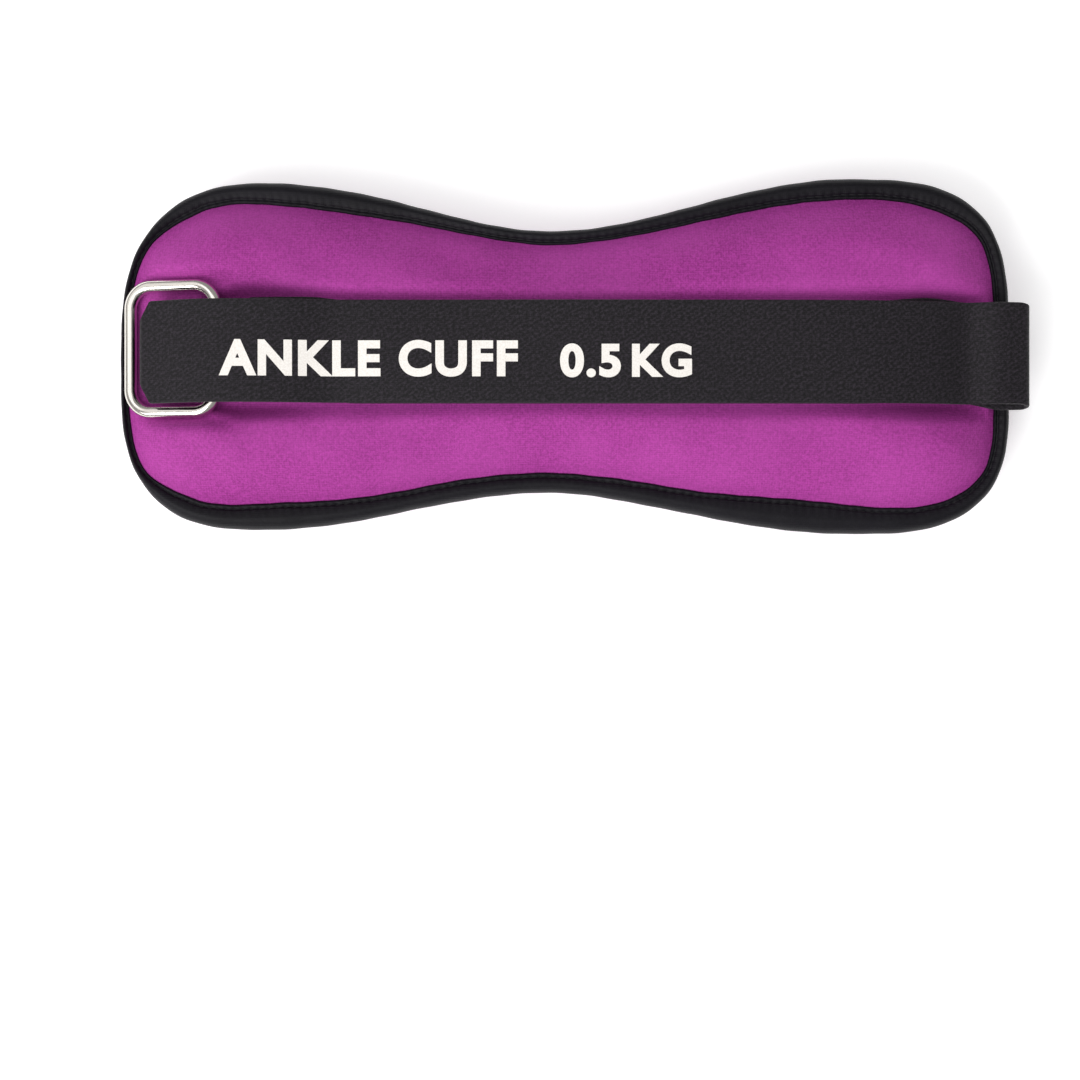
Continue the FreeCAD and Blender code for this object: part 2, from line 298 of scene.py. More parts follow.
@dataclass(frozen=True)
class PlainFinish:
    """A finish with a grain of its own size: print, thread, pile, hooks or sand."""

    name: str
    colour: str
    deep: str
    grain_mm: float
    roughness: float
    depth_mm: float
    sheen: float = 0.0

    def build(self) -> bpy.types.Material:
        """Builds a base of two tones with matching bump."""
        material, tree, shader = new_material(self.name)
        place = add_node(tree, "ShaderNodeTexCoord").outputs["Object"]
        speck = {"Vector": place, "Scale": 1.0 / (self.grain_mm * MM), "Detail": 3.0, "Roughness": 0.6}
        grain = add_node(tree, "ShaderNodeTexNoise", speck).outputs["Fac"]
        body = two_tone(tree, grain, (0.35, 0.65), self.deep, self.colour)
        tree.links.new(body, shader.inputs["Base Color"])
        relief = {"Height": grain, "Strength": 0.7, "Distance": self.depth_mm * MM}
        bump = add_node(tree, "ShaderNodeBump", relief)
        tree.links.new(bump.outputs[0], shader.inputs["Normal"])
        shader.inputs["Roughness"].default_value = self.roughness
        shader.inputs["Sheen Weight"].default_value = self.sheen
        return material


@dataclass
class Finishes:
    """Every finish on the cuff, built once."""

    purple: bpy.types.Material = field(init=False)
    edge: bpy.types.Material = field(init=False)
    webbing: bpy.types.Material = field(init=False)
    thread: bpy.types.Material = field(init=False)
    nickel: bpy.types.Material = field(init=False)
    print_white: bpy.types.Material = field(init=False)
    pile: bpy.types.Material = field(init=False)
    hooks: bpy.types.Material = field(init=False)
    sand: bpy.types.Material = field(init=False)

    def __post_init__(self) -> None:
        """Builds the materials."""
        self.purple = JerseyFoam("purple_jersey_foam_rubber", "#AB3A99", "#842774", "#B64AA4").build()
        self.edge = JerseyFoam(
            "black_jersey_edge_band", "#121016", "#07060A", "#1A181F", 0.5, 0.5, 0.55, 0.07, 0.04, 0.16
        ).build()
        self.webbing = TwillWebbing("charcoal_twill_webbing", "#2C262E", "#050306").build()
        self.thread = PlainFinish("black_bonded_thread", "#100E13", "#07060A", 0.25, 0.8, 0.04).build()
        self.nickel = NickelWire().build()
        self.print_white = PlainFinish("white_transfer_print", "#F4F0EB", "#E4DED7", 0.35, 0.55, 0.02).build()
        self.pile = PlainFinish("black_loop_pile", "#1B191D", "#0B0A0C", 0.3, 0.95, 0.3, 0.4).build()
        self.hooks = PlainFinish("black_hook_tape", "#19181B", "#0C0C0E", 0.5, 0.45, 0.2).build()
        self.sand = PlainFinish("iron_sand", "#4A4642", "#26231F", 0.5, 0.7, 0.3).build()


# ---------------------------------------------------------------- meshes


def mesh_object(
    name: str, points: np.ndarray, faces: list | np.ndarray, material: bpy.types.Material
) -> bpy.types.Object:
    """Makes a smooth mesh object from points in millimetres.

    Args:
        name: The object's name.
        points: An n by 3 array in millimetres.
        faces: Lists of point numbers.
        material: The finish of every face.
    Returns:
        The new object, linked to the scene.
    """
    mesh = bpy.data.meshes.new(name)
    mesh.from_pydata((np.asarray(points) * MM).tolist(), [], [list(map(int, f)) for f in faces])
    mesh.materials.append(material)
    mesh.validate()
    mesh.polygons.foreach_set("use_smooth", [True] * len(mesh.polygons))
    made = bpy.data.objects.new(name, mesh)
    bpy.context.scene.collection.objects.link(made)
    return made


def grid_faces(rows: int, columns: int, around: bool = False, closed: bool = False) -> np.ndarray:
    """Gives the quads of a grid of rows by columns points.

    Args:
        rows: How many rows of points there are.
        columns: How many points a row has.
        around: Whether each row closes on itself.
        closed: Whether the last row joins the first.
    Returns:
        An array of four point numbers for each quad.
    """
    down, across = np.arange(rows if closed else rows - 1), np.arange(columns if around else columns - 1)
    i, j = np.meshgrid(down, across, indexing="ij")
    a = i * columns + j
    b = i * columns + (j + 1) % columns
    c = ((i + 1) % rows) * columns + (j + 1) % columns
    d = ((i + 1) % rows) * columns + j
    return np.stack([a, b, c, d], -1).reshape(-1, 4)


def apply_modifiers(piece: bpy.types.Object) -> None:
    """Turns a piece and its modifiers into a plain mesh."""
    graph = bpy.context.evaluated_depsgraph_get()
    graph.update()
    done = piece.evaluated_get(graph)
    mesh = bpy.data.meshes.new_from_object(done, preserve_all_data_layers=True, depsgraph=graph)
    old = piece.data
    piece.modifiers.clear()
    piece.data = mesh
    bpy.data.meshes.remove(old)


@dataclass(frozen=True)
class PadShape:
    """The pad's outline and heights, in millimetres, as in the solids."""

    centre_x: float = -1.85
    half_length: float = 110.8  # to the right end
    left_length: float = 110.5
    lobe_x: tuple[float, float] = (-75.0, 72.0)
    lobe_y: tuple[float, float] = (43.3, 44.3)
    waist_x: float = -4.0
    waist_y: tuple[float, float] = (31.2, 34.0)  # top edge, bottom edge
    # left end, right end; each with its top and its bottom edge
    corner_flat: tuple[tuple[float, float], tuple[float, float]] = ((2.0, 6.5), (5.0, 12.0))
    corner_power: tuple[tuple[float, float], tuple[float, float]] = ((2.5, 2.75), (3.05, 2.9))
    waist_power: tuple[tuple[float, float], tuple[float, float]] = ((0.88, 1.0), (0.95, 0.88))
    mid_z: float = 12.0
    cover_t: float = 2.5
    outer_rise: float = 7.6
    seam: tuple[float, float] = (-80.7, 82.3)
    slit: float = 9.6  # half length of the upright bartack

    def half_width(self, x: np.ndarray, side: int) -> np.ndarray:
        """Distance of the outline from the centre line.

        Args:
            x: Stations measured from the pad's middle.
            side: 1 for the top edge, -1 for the bottom edge.
        Returns:
            The distance at each station.
        """
        x = np.asarray(x, float)
        waist = self.waist_y[0] if side > 0 else self.waist_y[1]
        result = np.zeros_like(x)
        for i, sign in ((0, -1.0), (1, 1.0)):
            lobe, wide = self.lobe_x[i], self.lobe_y[i]
            reach = self.half_length if sign > 0 else self.left_length
            u = np.clip(sign * (x - lobe) / (reach - sign * lobe), 0.0, 1.0)
            edge = 0 if side > 0 else 1
            power, flat = self.corner_power[i][edge], self.corner_flat[i][edge]
            end = flat + (wide - flat) * (1.0 - u**power) ** (1.0 / power)
            t = np.clip((x - self.waist_x) / (lobe - self.waist_x), 0.0, 1.0) ** self.waist_power[i][edge]
            inner = waist + (wide - waist) * 0.5 * (1.0 - np.cos(np.pi * t))
            here = (x < self.waist_x) if i == 0 else (x >= self.waist_x)
            result = np.where(here, np.where(sign * (x - lobe) >= 0.0, end, inner), result)
        return result

    def outline(self, count: int = 900) -> tuple[np.ndarray, np.ndarray]:
        """The outline as evenly spaced points and outward normals, from the right end's middle."""
        turn = np.sin(np.linspace(0.0, np.pi / 2.0, 60))
        ends = self.lobe_x[1] + (self.half_length - self.lobe_x[1]) * turn[::-1]
        inner = np.linspace(self.lobe_x[1], self.lobe_x[0], 160)[1:-1]
        left = self.lobe_x[0] - (self.left_length + self.lobe_x[0]) * turn
        xs = np.concatenate([ends, inner, left])
        top = np.stack([xs, self.half_width(xs, 1)], 1)
        bottom = np.stack([xs[::-1], -self.half_width(xs[::-1], -1)], 1)
        right_end, left_end = [[self.half_length, 0.0]], [[-self.left_length, 0.0]]
        line = np.concatenate([right_end, top, left_end, bottom, right_end])
        length = np.concatenate([[0.0], np.cumsum(np.linalg.norm(np.diff(line, axis=0), axis=1))])
        at = np.linspace(0.0, length[-1], count, endpoint=False)
        points = np.stack([np.interp(at, length, line[:, k]) for k in (0, 1)], 1)
        for _ in range(12):
            points = 0.5 * points + 0.25 * (np.roll(points, 1, 0) + np.roll(points, -1, 0))
        tangent = np.roll(points, -1, 0) - np.roll(points, 1, 0)
        tangent /= np.linalg.norm(tangent, axis=1, keepdims=True)
        points[:, 0] += self.centre_x
        return points, np.stack([tangent[:, 1], -tangent[:, 0]], 1)

    def edge_width(self, points: np.ndarray, normals: np.ndarray) -> np.ndarray:
        """How much of the rolled edge shows on the outer face: narrow at the ends, wide at the lobes."""
        x = points[:, 0] - self.centre_x
        near_waist = np.exp(-((x - self.waist_x) / 42.0) ** 2)

        def swell(at: float, reach: float, size: float) -> np.ndarray:
            """A stretch where the band was laid wider."""
            return size * np.exp(-(((x - at) / reach) ** 2))

        top = 5.4 - 1.6 * near_waist
        top = top + swell(-58.0, 20.0, 1.2) + swell(55.0, 25.0, 0.4) + swell(94.0, 13.0, 1.0)
        bottom = 5.4 - 0.3 * near_waist + swell(58.0, 24.0, 2.6) + swell(-70.0, 17.0, 1.5)
        side = np.where(normals[:, 1] > 0.0, top, bottom)
        end = np.where(normals[:, 0] < 0.0, 2.5, 4.4)
        return end + (side - end) * smooth((np.abs(normals[:, 1]) - 0.36) / 0.57)

    def cover_top(self, x: np.ndarray | float) -> np.ndarray:
        """Height of the outer face on the centre line at a place in the frame, over the end edges too."""
        u = np.minimum(1.0, np.abs(np.asarray(x, float) - self.centre_x) / (self.half_length - 7.5))
        face = self.mid_z + self.cover_t + 0.25 + self.outer_rise * (1.0 - u**6)
        end = self.centre_x + self.half_length - 6.5
        rise = smooth((np.asarray(x, float) - (end - 12.0)) / 10.0)
        return np.maximum(face, face * (1.0 - rise) + (self.mid_z + 4.5) * rise)


def spline(points: list[tuple[float, float]], step: float = 0.6) -> np.ndarray:
    """A smooth line through points, as evenly spaced points.

    Args:
        points: Places in a plane.
        step: Distance between the points given back.
    Returns:
        An n by 2 array.
    """
    p = np.array(points, float)
    gap = np.linalg.norm(np.diff(p, axis=0), axis=1)[:, None]
    slope = np.diff(p, axis=0) / gap
    inner = (gap[1:] * slope[:-1] + gap[:-1] * slope[1:]) / (gap[1:] + gap[:-1])
    turn = np.vstack([slope[:1], inner, slope[-1:]])
    t = np.linspace(0.0, 1.0, 24, endpoint=False)[:, None]
    dense = [
        (2 * t**3 - 3 * t**2 + 1) * p[i]
        + (t**3 - 2 * t**2 + t) * gap[i] * turn[i]
        + (3 * t**2 - 2 * t**3) * p[i + 1]
        + (t**3 - t**2) * gap[i] * turn[i + 1]
        for i in range(len(gap))
    ]
    line = np.vstack(dense + [p[-1:]])
    length = np.concatenate([[0.0], np.cumsum(np.linalg.norm(np.diff(line, axis=0), axis=1))])
    at = np.linspace(0.0, length[-1], max(2, int(length[-1] / step)))
    return np.stack([np.interp(at, length, line[:, k]) for k in (0, 1)], 1)


def grid_normals(grid: np.ndarray, wrap_rows: bool = False, wrap_columns: bool = False) -> np.ndarray:
    """Unit normals of a grid of points, so that pieces parted along a row still shade as one.

    Args:
        grid: A rows by columns by 3 array.
        wrap_rows: Whether the last row joins the first.
        wrap_columns: Whether the last column joins the first.
    Returns:
        An array of the same shape.
    """

    def slope(axis: int, wrap: bool) -> np.ndarray:
        """Differences along rows or columns."""
        if wrap:
            return np.roll(grid, -1, axis) - np.roll(grid, 1, axis)
        return np.gradient(grid, axis=axis)

    normals = np.cross(slope(0, wrap_rows), slope(1, wrap_columns))
    return normals / np.maximum(1e-12, np.linalg.norm(normals, axis=2, keepdims=True))


def closed_piece(
    name: str,
    points: np.ndarray,
    faces: list,
    normals: np.ndarray,
    material: bpy.types.Material,
    flat_from: int,
) -> bpy.types.Object:
    """Makes a closed mesh whose skin has given normals and whose end faces are flat.

    Args:
        name: The piece's name.
        points: An n by 3 array in millimetres.
        faces: Lists of point numbers, the skin first and then the end faces.
        normals: Outward normals of the skin at each point.
        material: The finish.
        flat_from: The number of the first end face.
    Returns:
        The new object.
    """
    corners = np.array([points[[f[0], f[1], f[2]]] for f in faces[:flat_from]])
    across = np.cross(corners[:, 1] - corners[:, 0], corners[:, 2] - corners[:, 0])
    if np.sum(across * normals[[f[0] for f in faces[:flat_from]]]) < 0.0:
        faces = [list(f)[::-1] for f in faces]
    piece = mesh_object(name, points, faces, material)
    mesh = piece.data
    shade = np.zeros((len(mesh.loops), 3))
    number = np.zeros(len(mesh.loops), int)
    mesh.loops.foreach_get("vertex_index", number)
    shade[:] = normals[number]
    for face in list(mesh.polygons)[flat_from:]:
        corners = range(face.loop_start, face.loop_start + face.loop_total)
        for corner in corners:
            shade[corner] = face.normal
            mesh.edges[mesh.loops[corner].edge_index].use_edge_sharp = True
    mesh.normals_split_custom_set(shade.tolist())
    return piece


def tube(name: str, rows: np.ndarray, normals: np.ndarray, material: bpy.types.Material) -> bpy.types.Object:
    """Makes a closed piece from rings of points.

    Args:
        name: The piece's name.
        rows: Rings of points, a rows by around by 3 array in millimetres.
        normals: Outward normals at the points.
        material: The finish.
    Returns:
        The new object.
    """
    count, around = rows.shape[:2]
    skin = grid_faces(count, around, around=True).tolist()
    start = list(range(around))[::-1]
    end = list(range((count - 1) * around, count * around))
    points, shade = rows.reshape(-1, 3), normals.reshape(-1, 3)
    return closed_piece(name, points, skin + [end, start], shade, material, len(skin))


class Joint(Enum):
    """The bends of the pad, left to right: body on the left, body on the right, place of the bend."""

    LEFT_END = (0, 1, CUTS[1])
    LEFT = (1, 2, CUTS[2])
    RIGHT = (2, 3, CUTS[3])
    RIGHT_END = (3, 4, CUTS[4])

    @property
    def index(self) -> int:
        """The number of the strip that this joint bends."""
        return list(Joint).index(self)

    def bend(self, piece: bpy.types.Object) -> None:
        """Bakes a piece's transform into its mesh; the piece is not bent."""
        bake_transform(piece)


def strip_span(index: int) -> tuple[float, float]:
    """The x range of one strip of the pad, in millimetres."""
    stations = (-200.0, *STRIP_ENDS, 200.0)
    return stations[index], stations[index + 1]


@dataclass
class Pad:
    """The filled pad: an outer cover and an ankle cover over two chambers of sand."""

    shape: PadShape
    finishes: Finishes
    columns: int = 176
    rows: int = 81
    lobe_top: float = 25.2
    pressure: float = 3.0
    most_move: float = 2.2
    calm_passes: int = 14

    def lip_curve(self, tuck: float) -> tuple[np.ndarray, np.ndarray]:
        """The line where the covers pass under the rolled edge, and the outline's normals."""
        points, normals = self.shape.outline()
        width = self.shape.edge_width(points, normals)
        return points - normals * (width - tuck)[:, None], normals

    def plan(self) -> tuple[np.ndarray, np.ndarray, np.ndarray]:
        """Places of the grid in plan, and each one's distance from the rolled edge."""
        curve, normals = self.lip_curve(1.0)
        turned = np.abs(normals[:, 1]) > 0.03
        top = curve[turned & (curve[:, 1] > 0.0)]
        bottom = curve[turned & (curve[:, 1] < 0.0)]
        top, bottom = top[np.argsort(top[:, 0])], bottom[np.argsort(bottom[:, 0])]
        low, high = max(top[0, 0], bottom[0, 0]), min(top[-1, 0], bottom[-1, 0])
        turn = np.sin(np.linspace(-0.5, 0.5, self.columns) * math.pi)
        x = 0.5 * (low + high) + 0.5 * (high - low) * turn
        for cut in STRIP_ENDS:
            x[np.argmin(np.abs(x - cut))] = cut
        q = np.linspace(-1.0, 1.0, self.rows)
        t = np.sign(q) * np.abs(q) ** 1.35
        up, down = np.interp(x, top[:, 0], top[:, 1]), np.interp(x, bottom[:, 0], bottom[:, 1])
        y = np.where(t[None] >= 0.0, t[None] * up[:, None], -t[None] * down[:, None])
        x = np.repeat(x[:, None], self.rows, 1)
        flat = np.stack([x.ravel(), y.ravel()], 1)
        near = np.full(len(flat), 1e9)
        for i in range(0, len(curve), 60):
            part = curve[i : i + 60]
            near = np.minimum(near, np.linalg.norm(flat[:, None] - part[None], axis=2).min(1))
        return x, y, near.reshape(x.shape)

    def outer_heights(self, x: np.ndarray, y: np.ndarray, edge: np.ndarray) -> np.ndarray:
        """Heights of the outer face: two full lobes, level under the webbing, pulled in by its tacks."""
        s = self.shape
        flange = s.mid_z + 2.2
        dome = 1.0 - (1.0 - np.clip(edge / 25.0, 0.0, 1.0)) ** 2.3
        lobe = flange + (self.lobe_top - flange) * dome
        under = np.minimum(lobe, s.cover_top(x) + 0.15 + 2.2 * smooth((-86.0 - x) / 10.0))
        z = under + (lobe - under) * smooth((np.abs(y) - 12.3) / 5.0)
        off = np.abs(y) - 13.0
        tack = 2.3 * np.exp(-(((x + 79.0) / 13.0) ** 2)) * np.exp(-((off / 6.0) ** 2)) * (np.abs(y) > 6.0)
        pull = 2.0 * np.exp(-(((x - 90.0) / 13.0) ** 2)) * np.exp(-((off / 6.0) ** 2)) * (np.abs(y) > 6.0)
        z = np.maximum(z - (tack + pull) * dome, flange - 0.3 + 0.05 * edge)
        bar = float(s.cover_top(RING_X)) + GAP + WEB_T + 0.25 + WIRE_R
        below = bar + (x - RING_X) * math.tan(math.radians(RING_TILT)) - WIRE_R - 0.35
        near = smooth((20.5 - np.abs(y - RING_Y)) / 4.5) * smooth((-79.0 - x) / 6.0)
        return z - near * np.maximum(0.0, z - below)

    def ankle_heights(self, x: np.ndarray, y: np.ndarray, edge: np.ndarray) -> np.ndarray:
        """Heights of the ankle face: deep lobes that meet in a crease, with a tack at its left end."""
        s = self.shape
        rim = s.mid_z - 2.2
        dome = np.sqrt(1.0 - (1.0 - np.clip(edge / 27.0, 0.0, 1.0)) ** 2)
        z = rim - (rim + 1.3) * dome
        beyond = np.maximum(0.0, np.maximum(s.seam[0] - x, x - s.seam[1] + 16.0) * np.where(x > 0, 0.6, 1.0))
        far = np.clip(np.hypot(beyond, y) / 15.0, 0.0, 1.0)
        crease = 13.5 * (1.0 - np.sqrt(1.0 - (1.0 - far) ** 2)) * dome
        past = np.maximum(0.0, np.abs(y) - s.slit)
        near = np.clip(np.hypot(x - s.seam[0], past) / 9.0, 0.0, 1.0)
        tack = 9.5 * (1.0 - np.sqrt(1.0 - (1.0 - near) ** 2)) * dome
        ray_x, ray_y = x - s.seam[0], np.abs(y) - s.slit
        along = -ray_x * 0.72 + ray_y * 0.69
        across = ray_x * 0.69 + ray_y * 0.72
        length = smooth((along + 2.0) / 4.0) * smooth((26.0 - along) / 24.0)
        ray = 2.6 * np.exp(-((across / 4.2) ** 2)) * length
        z = z + np.maximum(crease, tack) + ray * dome
        return 0.5 * (z + np.sqrt(z * z + 0.7))

    def settle(self, outer: np.ndarray, ankle: np.ndarray, held: tuple[np.ndarray, np.ndarray]) -> tuple:
        """Lets the two covers swell over their fill as cloth, held at the edge, the seam and the webbing.

        Args:
            outer: Grid of the outer cover, in millimetres.
            ankle: Grid of the ankle cover, in millimetres.
            held: How firmly each point of the two grids is held, 0 to 1.
        Returns:
            The two grids after they have settled.
        """
        count = outer.shape[0] * outer.shape[1]
        rim = np.zeros(outer.shape[:2], bool)
        rim[0], rim[-1], rim[:, 0], rim[:, -1] = True, True, True, True
        number = np.arange(count, 2 * count).reshape(rim.shape)
        number[rim] = np.arange(count).reshape(rim.shape)[rim]
        top = grid_faces(*rim.shape)
        under = number.ravel()[top[:, ::-1]]
        before = np.vstack([outer.reshape(-1, 3), ankle.reshape(-1, 3)])
        bag = mesh_object("pad_bag", before, np.vstack([top, under]), self.finishes.purple)
        group = bag.vertex_groups.new(name="held")
        firm = np.concatenate([np.where(rim, 1.0, held[0]).ravel(), held[1].ravel()])
        for level in np.unique(firm.round(2)):
            if level > 0.0:
                group.add(np.nonzero(firm.round(2) == level)[0].tolist(), float(level), "REPLACE")
        bm = bmesh.new()
        bm.from_mesh(bag.data)
        loose = [v for v in bm.verts if not v.link_faces]
        keep = np.array([bool(v.link_faces) for v in bm.verts])
        bmesh.ops.delete(bm, geom=loose, context="VERTS")
        bm.to_mesh(bag.data)
        bm.free()
        cloth = bag.modifiers.new("Cloth", "CLOTH")
        cloth.settings.vertex_group_mass = "held"
        cloth.settings.use_pressure = True
        cloth.settings.uniform_pressure_force = self.pressure
        cloth.settings.effector_weights.gravity = 0.0
        cloth.settings.quality = 6
        cloth.settings.tension_stiffness = 25.0
        cloth.settings.compression_stiffness = 25.0
        cloth.settings.bending_stiffness = 2.0
        cloth.settings.shrink_min = -0.015
        cloth.settings.pin_stiffness = 4.0
        cloth.collision_settings.use_collision = False
        scene = bpy.context.scene
        cloth.point_cache.frame_start, cloth.point_cache.frame_end = 1, 16
        for frame in range(1, 17):
            scene.frame_set(frame)
        apply_modifiers(bag)
        scene.frame_set(1)
        moved = np.zeros(len(bag.data.vertices) * 3)
        bag.data.vertices.foreach_get("co", moved)
        bpy.data.objects.remove(bag)
        after = before.copy()
        after[keep] = moved.reshape(-1, 3) / MM
        step = self.calm((after - before) * (1.0 - firm[:, None]), outer.shape)
        size = np.linalg.norm(step, axis=1, keepdims=True)
        step *= self.most_move * np.tanh(size / self.most_move) / np.maximum(size, 1e-9)
        log.info("the covers moved by up to %.2f mm", size.max())
        after = before + step
        return after[:count].reshape(outer.shape), after[count:].reshape(ankle.shape)

    def calm(self, step: np.ndarray, shape: tuple) -> np.ndarray:
        """Takes the finest wrinkles out of a movement, as thick foam does.

        Args:
            step: Movement of every point of both covers.
            shape: Shape of one cover's grid.
        Returns:
            The calmed movement.
        """
        both = step.reshape(2, *shape)
        for _ in range(self.calm_passes):
            spread = 0.25 * sum(np.roll(both, way, axis) for axis in (1, 2) for way in (1, -1))
            both[:, 1:-1, 1:-1] = 0.4 * both[:, 1:-1, 1:-1] + 0.6 * spread[:, 1:-1, 1:-1]
        return both.reshape(-1, 3)

    def build(self) -> None:
        """Builds the pad and parts it into strips, one over each bend."""
        s = self.shape
        x, y, edge = self.plan()
        outer = np.stack([x, y, self.outer_heights(x, y, edge)], 2)
        ankle = np.stack([x, y, self.ankle_heights(x, y, edge)], 2)
        firm = smooth((16.0 - np.abs(y)) / 5.0) * smooth((x + 84.0) / 4.0)
        firm = np.maximum(firm, smooth((5.0 - edge) / 3.0))
        between = smooth((x - s.seam[0] + 3.0) / 3.0) * smooth((s.seam[1] + 4.0 - x) / 12.0)
        on_seam = smooth((4.0 - np.abs(y)) / 3.0) * between
        on_slit = smooth((4.0 - np.abs(x - s.seam[0])) / 3.0) * smooth((s.slit + 3.0 - np.abs(y)) / 3.0)
        grip = np.maximum(np.maximum(on_seam, on_slit), smooth((5.0 - edge) / 3.0))
        z_before = ankle[:, :, 2].copy()
        outer, ankle = self.settle(outer, ankle, (firm, grip))
        lying = np.maximum(ankle[:, :, 2], 0.15 * z_before + 0.25)
        ankle[:, :, 2] = np.where(z_before < 1.2, lying, ankle[:, :, 2])
        ankle[:, :, 2] = np.maximum(ankle[:, :, 2], 0.2)
        for cut in STRIP_ENDS:
            row = int(np.argmin(np.abs(x[:, 0] - cut)))
            outer[row, :, 0] = cut
            ankle[row, :, 0] = cut
        middle = self.rows // 2
        for sign, part in ((1, slice(middle + 1, None)), (-1, slice(0, middle))):
            ankle[:, part, 1] = sign * np.maximum(sign * ankle[:, part, 1], 0.12)
        self.cut(outer, ankle)

    def cut(self, outer: np.ndarray, ankle: np.ndarray) -> None:
        """Makes a closed piece of each strip and bakes its transform."""
        up = grid_normals(outer)
        down = -grid_normals(ankle)
        stations = outer[:, 0, 0]
        for joint in Joint:
            low, high = strip_span(joint.index)
            inside = np.nonzero((stations >= low - 1e-6) & (stations <= high + 1e-6))[0]
            a, b = outer[inside], ankle[inside]
            rows, columns = a.shape[:2]
            count = rows * columns
            skin = grid_faces(rows, columns)
            faces = skin.tolist() + (skin[:, ::-1] + count).tolist()
            number = np.arange(count).reshape(rows, columns)
            walls = [(number[0], 1), (number[-1], -1), (number[:, 0], -1), (number[:, -1], 1)]
            for line, way in walls:
                for i, j in zip(line[:-1], line[1:]):
                    faces.append([i, j, j + count, i + count][::way])
            points = np.vstack([a.reshape(-1, 3), b.reshape(-1, 3)])
            normals = np.vstack([up[inside].reshape(-1, 3), down[inside].reshape(-1, 3)])
            name = f"pad_covers_{joint.index + 1}"
            piece = closed_piece(name, points, faces, normals, self.finishes.purple, 2 * len(skin))
            numbers = (joint.index + 1, joint.index + 2)
            nodes = [f"{kind}_{k}" for kind in ("outer_cover", "ankle_cover") for k in numbers]
            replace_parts(piece, *nodes)
            joint.bend(piece)
            log.info("%s: %d points", piece.name, len(points))
        Seams(self.finishes).build(self.shape, ankle)


@dataclass
class Seams:
    """The sewn line in the centre crease and the upright tack at its left end, on the ankle face."""

    finishes: Finishes
    lift: float = 0.25

    def build(self, shape: PadShape, ankle: np.ndarray) -> None:
        """Sews both rows through the ankle cover's lowest points."""
        middle = ankle.shape[1] // 2
        line = ankle[:, middle].copy()
        line[:, 1] = 0.0
        line[:, 2] -= self.lift
        along = Stitches(self.finishes.thread, pitch=3.2, length=2.6, width=0.6, height=0.5)
        for joint in Joint:
            low, high = strip_span(joint.index)
            low, high = max(low, shape.seam[0] + 3.0), min(high, shape.seam[1] - 5.0)
            inside = (line[:, 0] >= low) & (line[:, 0] <= high)
            row = along.row(f"crease_stitches_{joint.index + 1}", line[inside], joint.bend)
            if joint.index == 0:
                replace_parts(row, "seam_thread_1", "seam_thread_2")
            else:
                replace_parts(row, f"seam_thread_{joint.index + 2}")
        column = int(np.argmin(np.abs(ankle[:, middle, 0] - shape.seam[0])))
        tall = ankle[column]
        tall = tall[np.abs(tall[:, 1]) <= shape.slit].copy()
        tall[:, 2] -= self.lift
        tack = Stitches(self.finishes.thread, pitch=0.62, length=0.55, width=2.3, height=0.7)
        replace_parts(tack.row("upright_tack", tall, Joint.LEFT_END.bend), "tab_bartack")


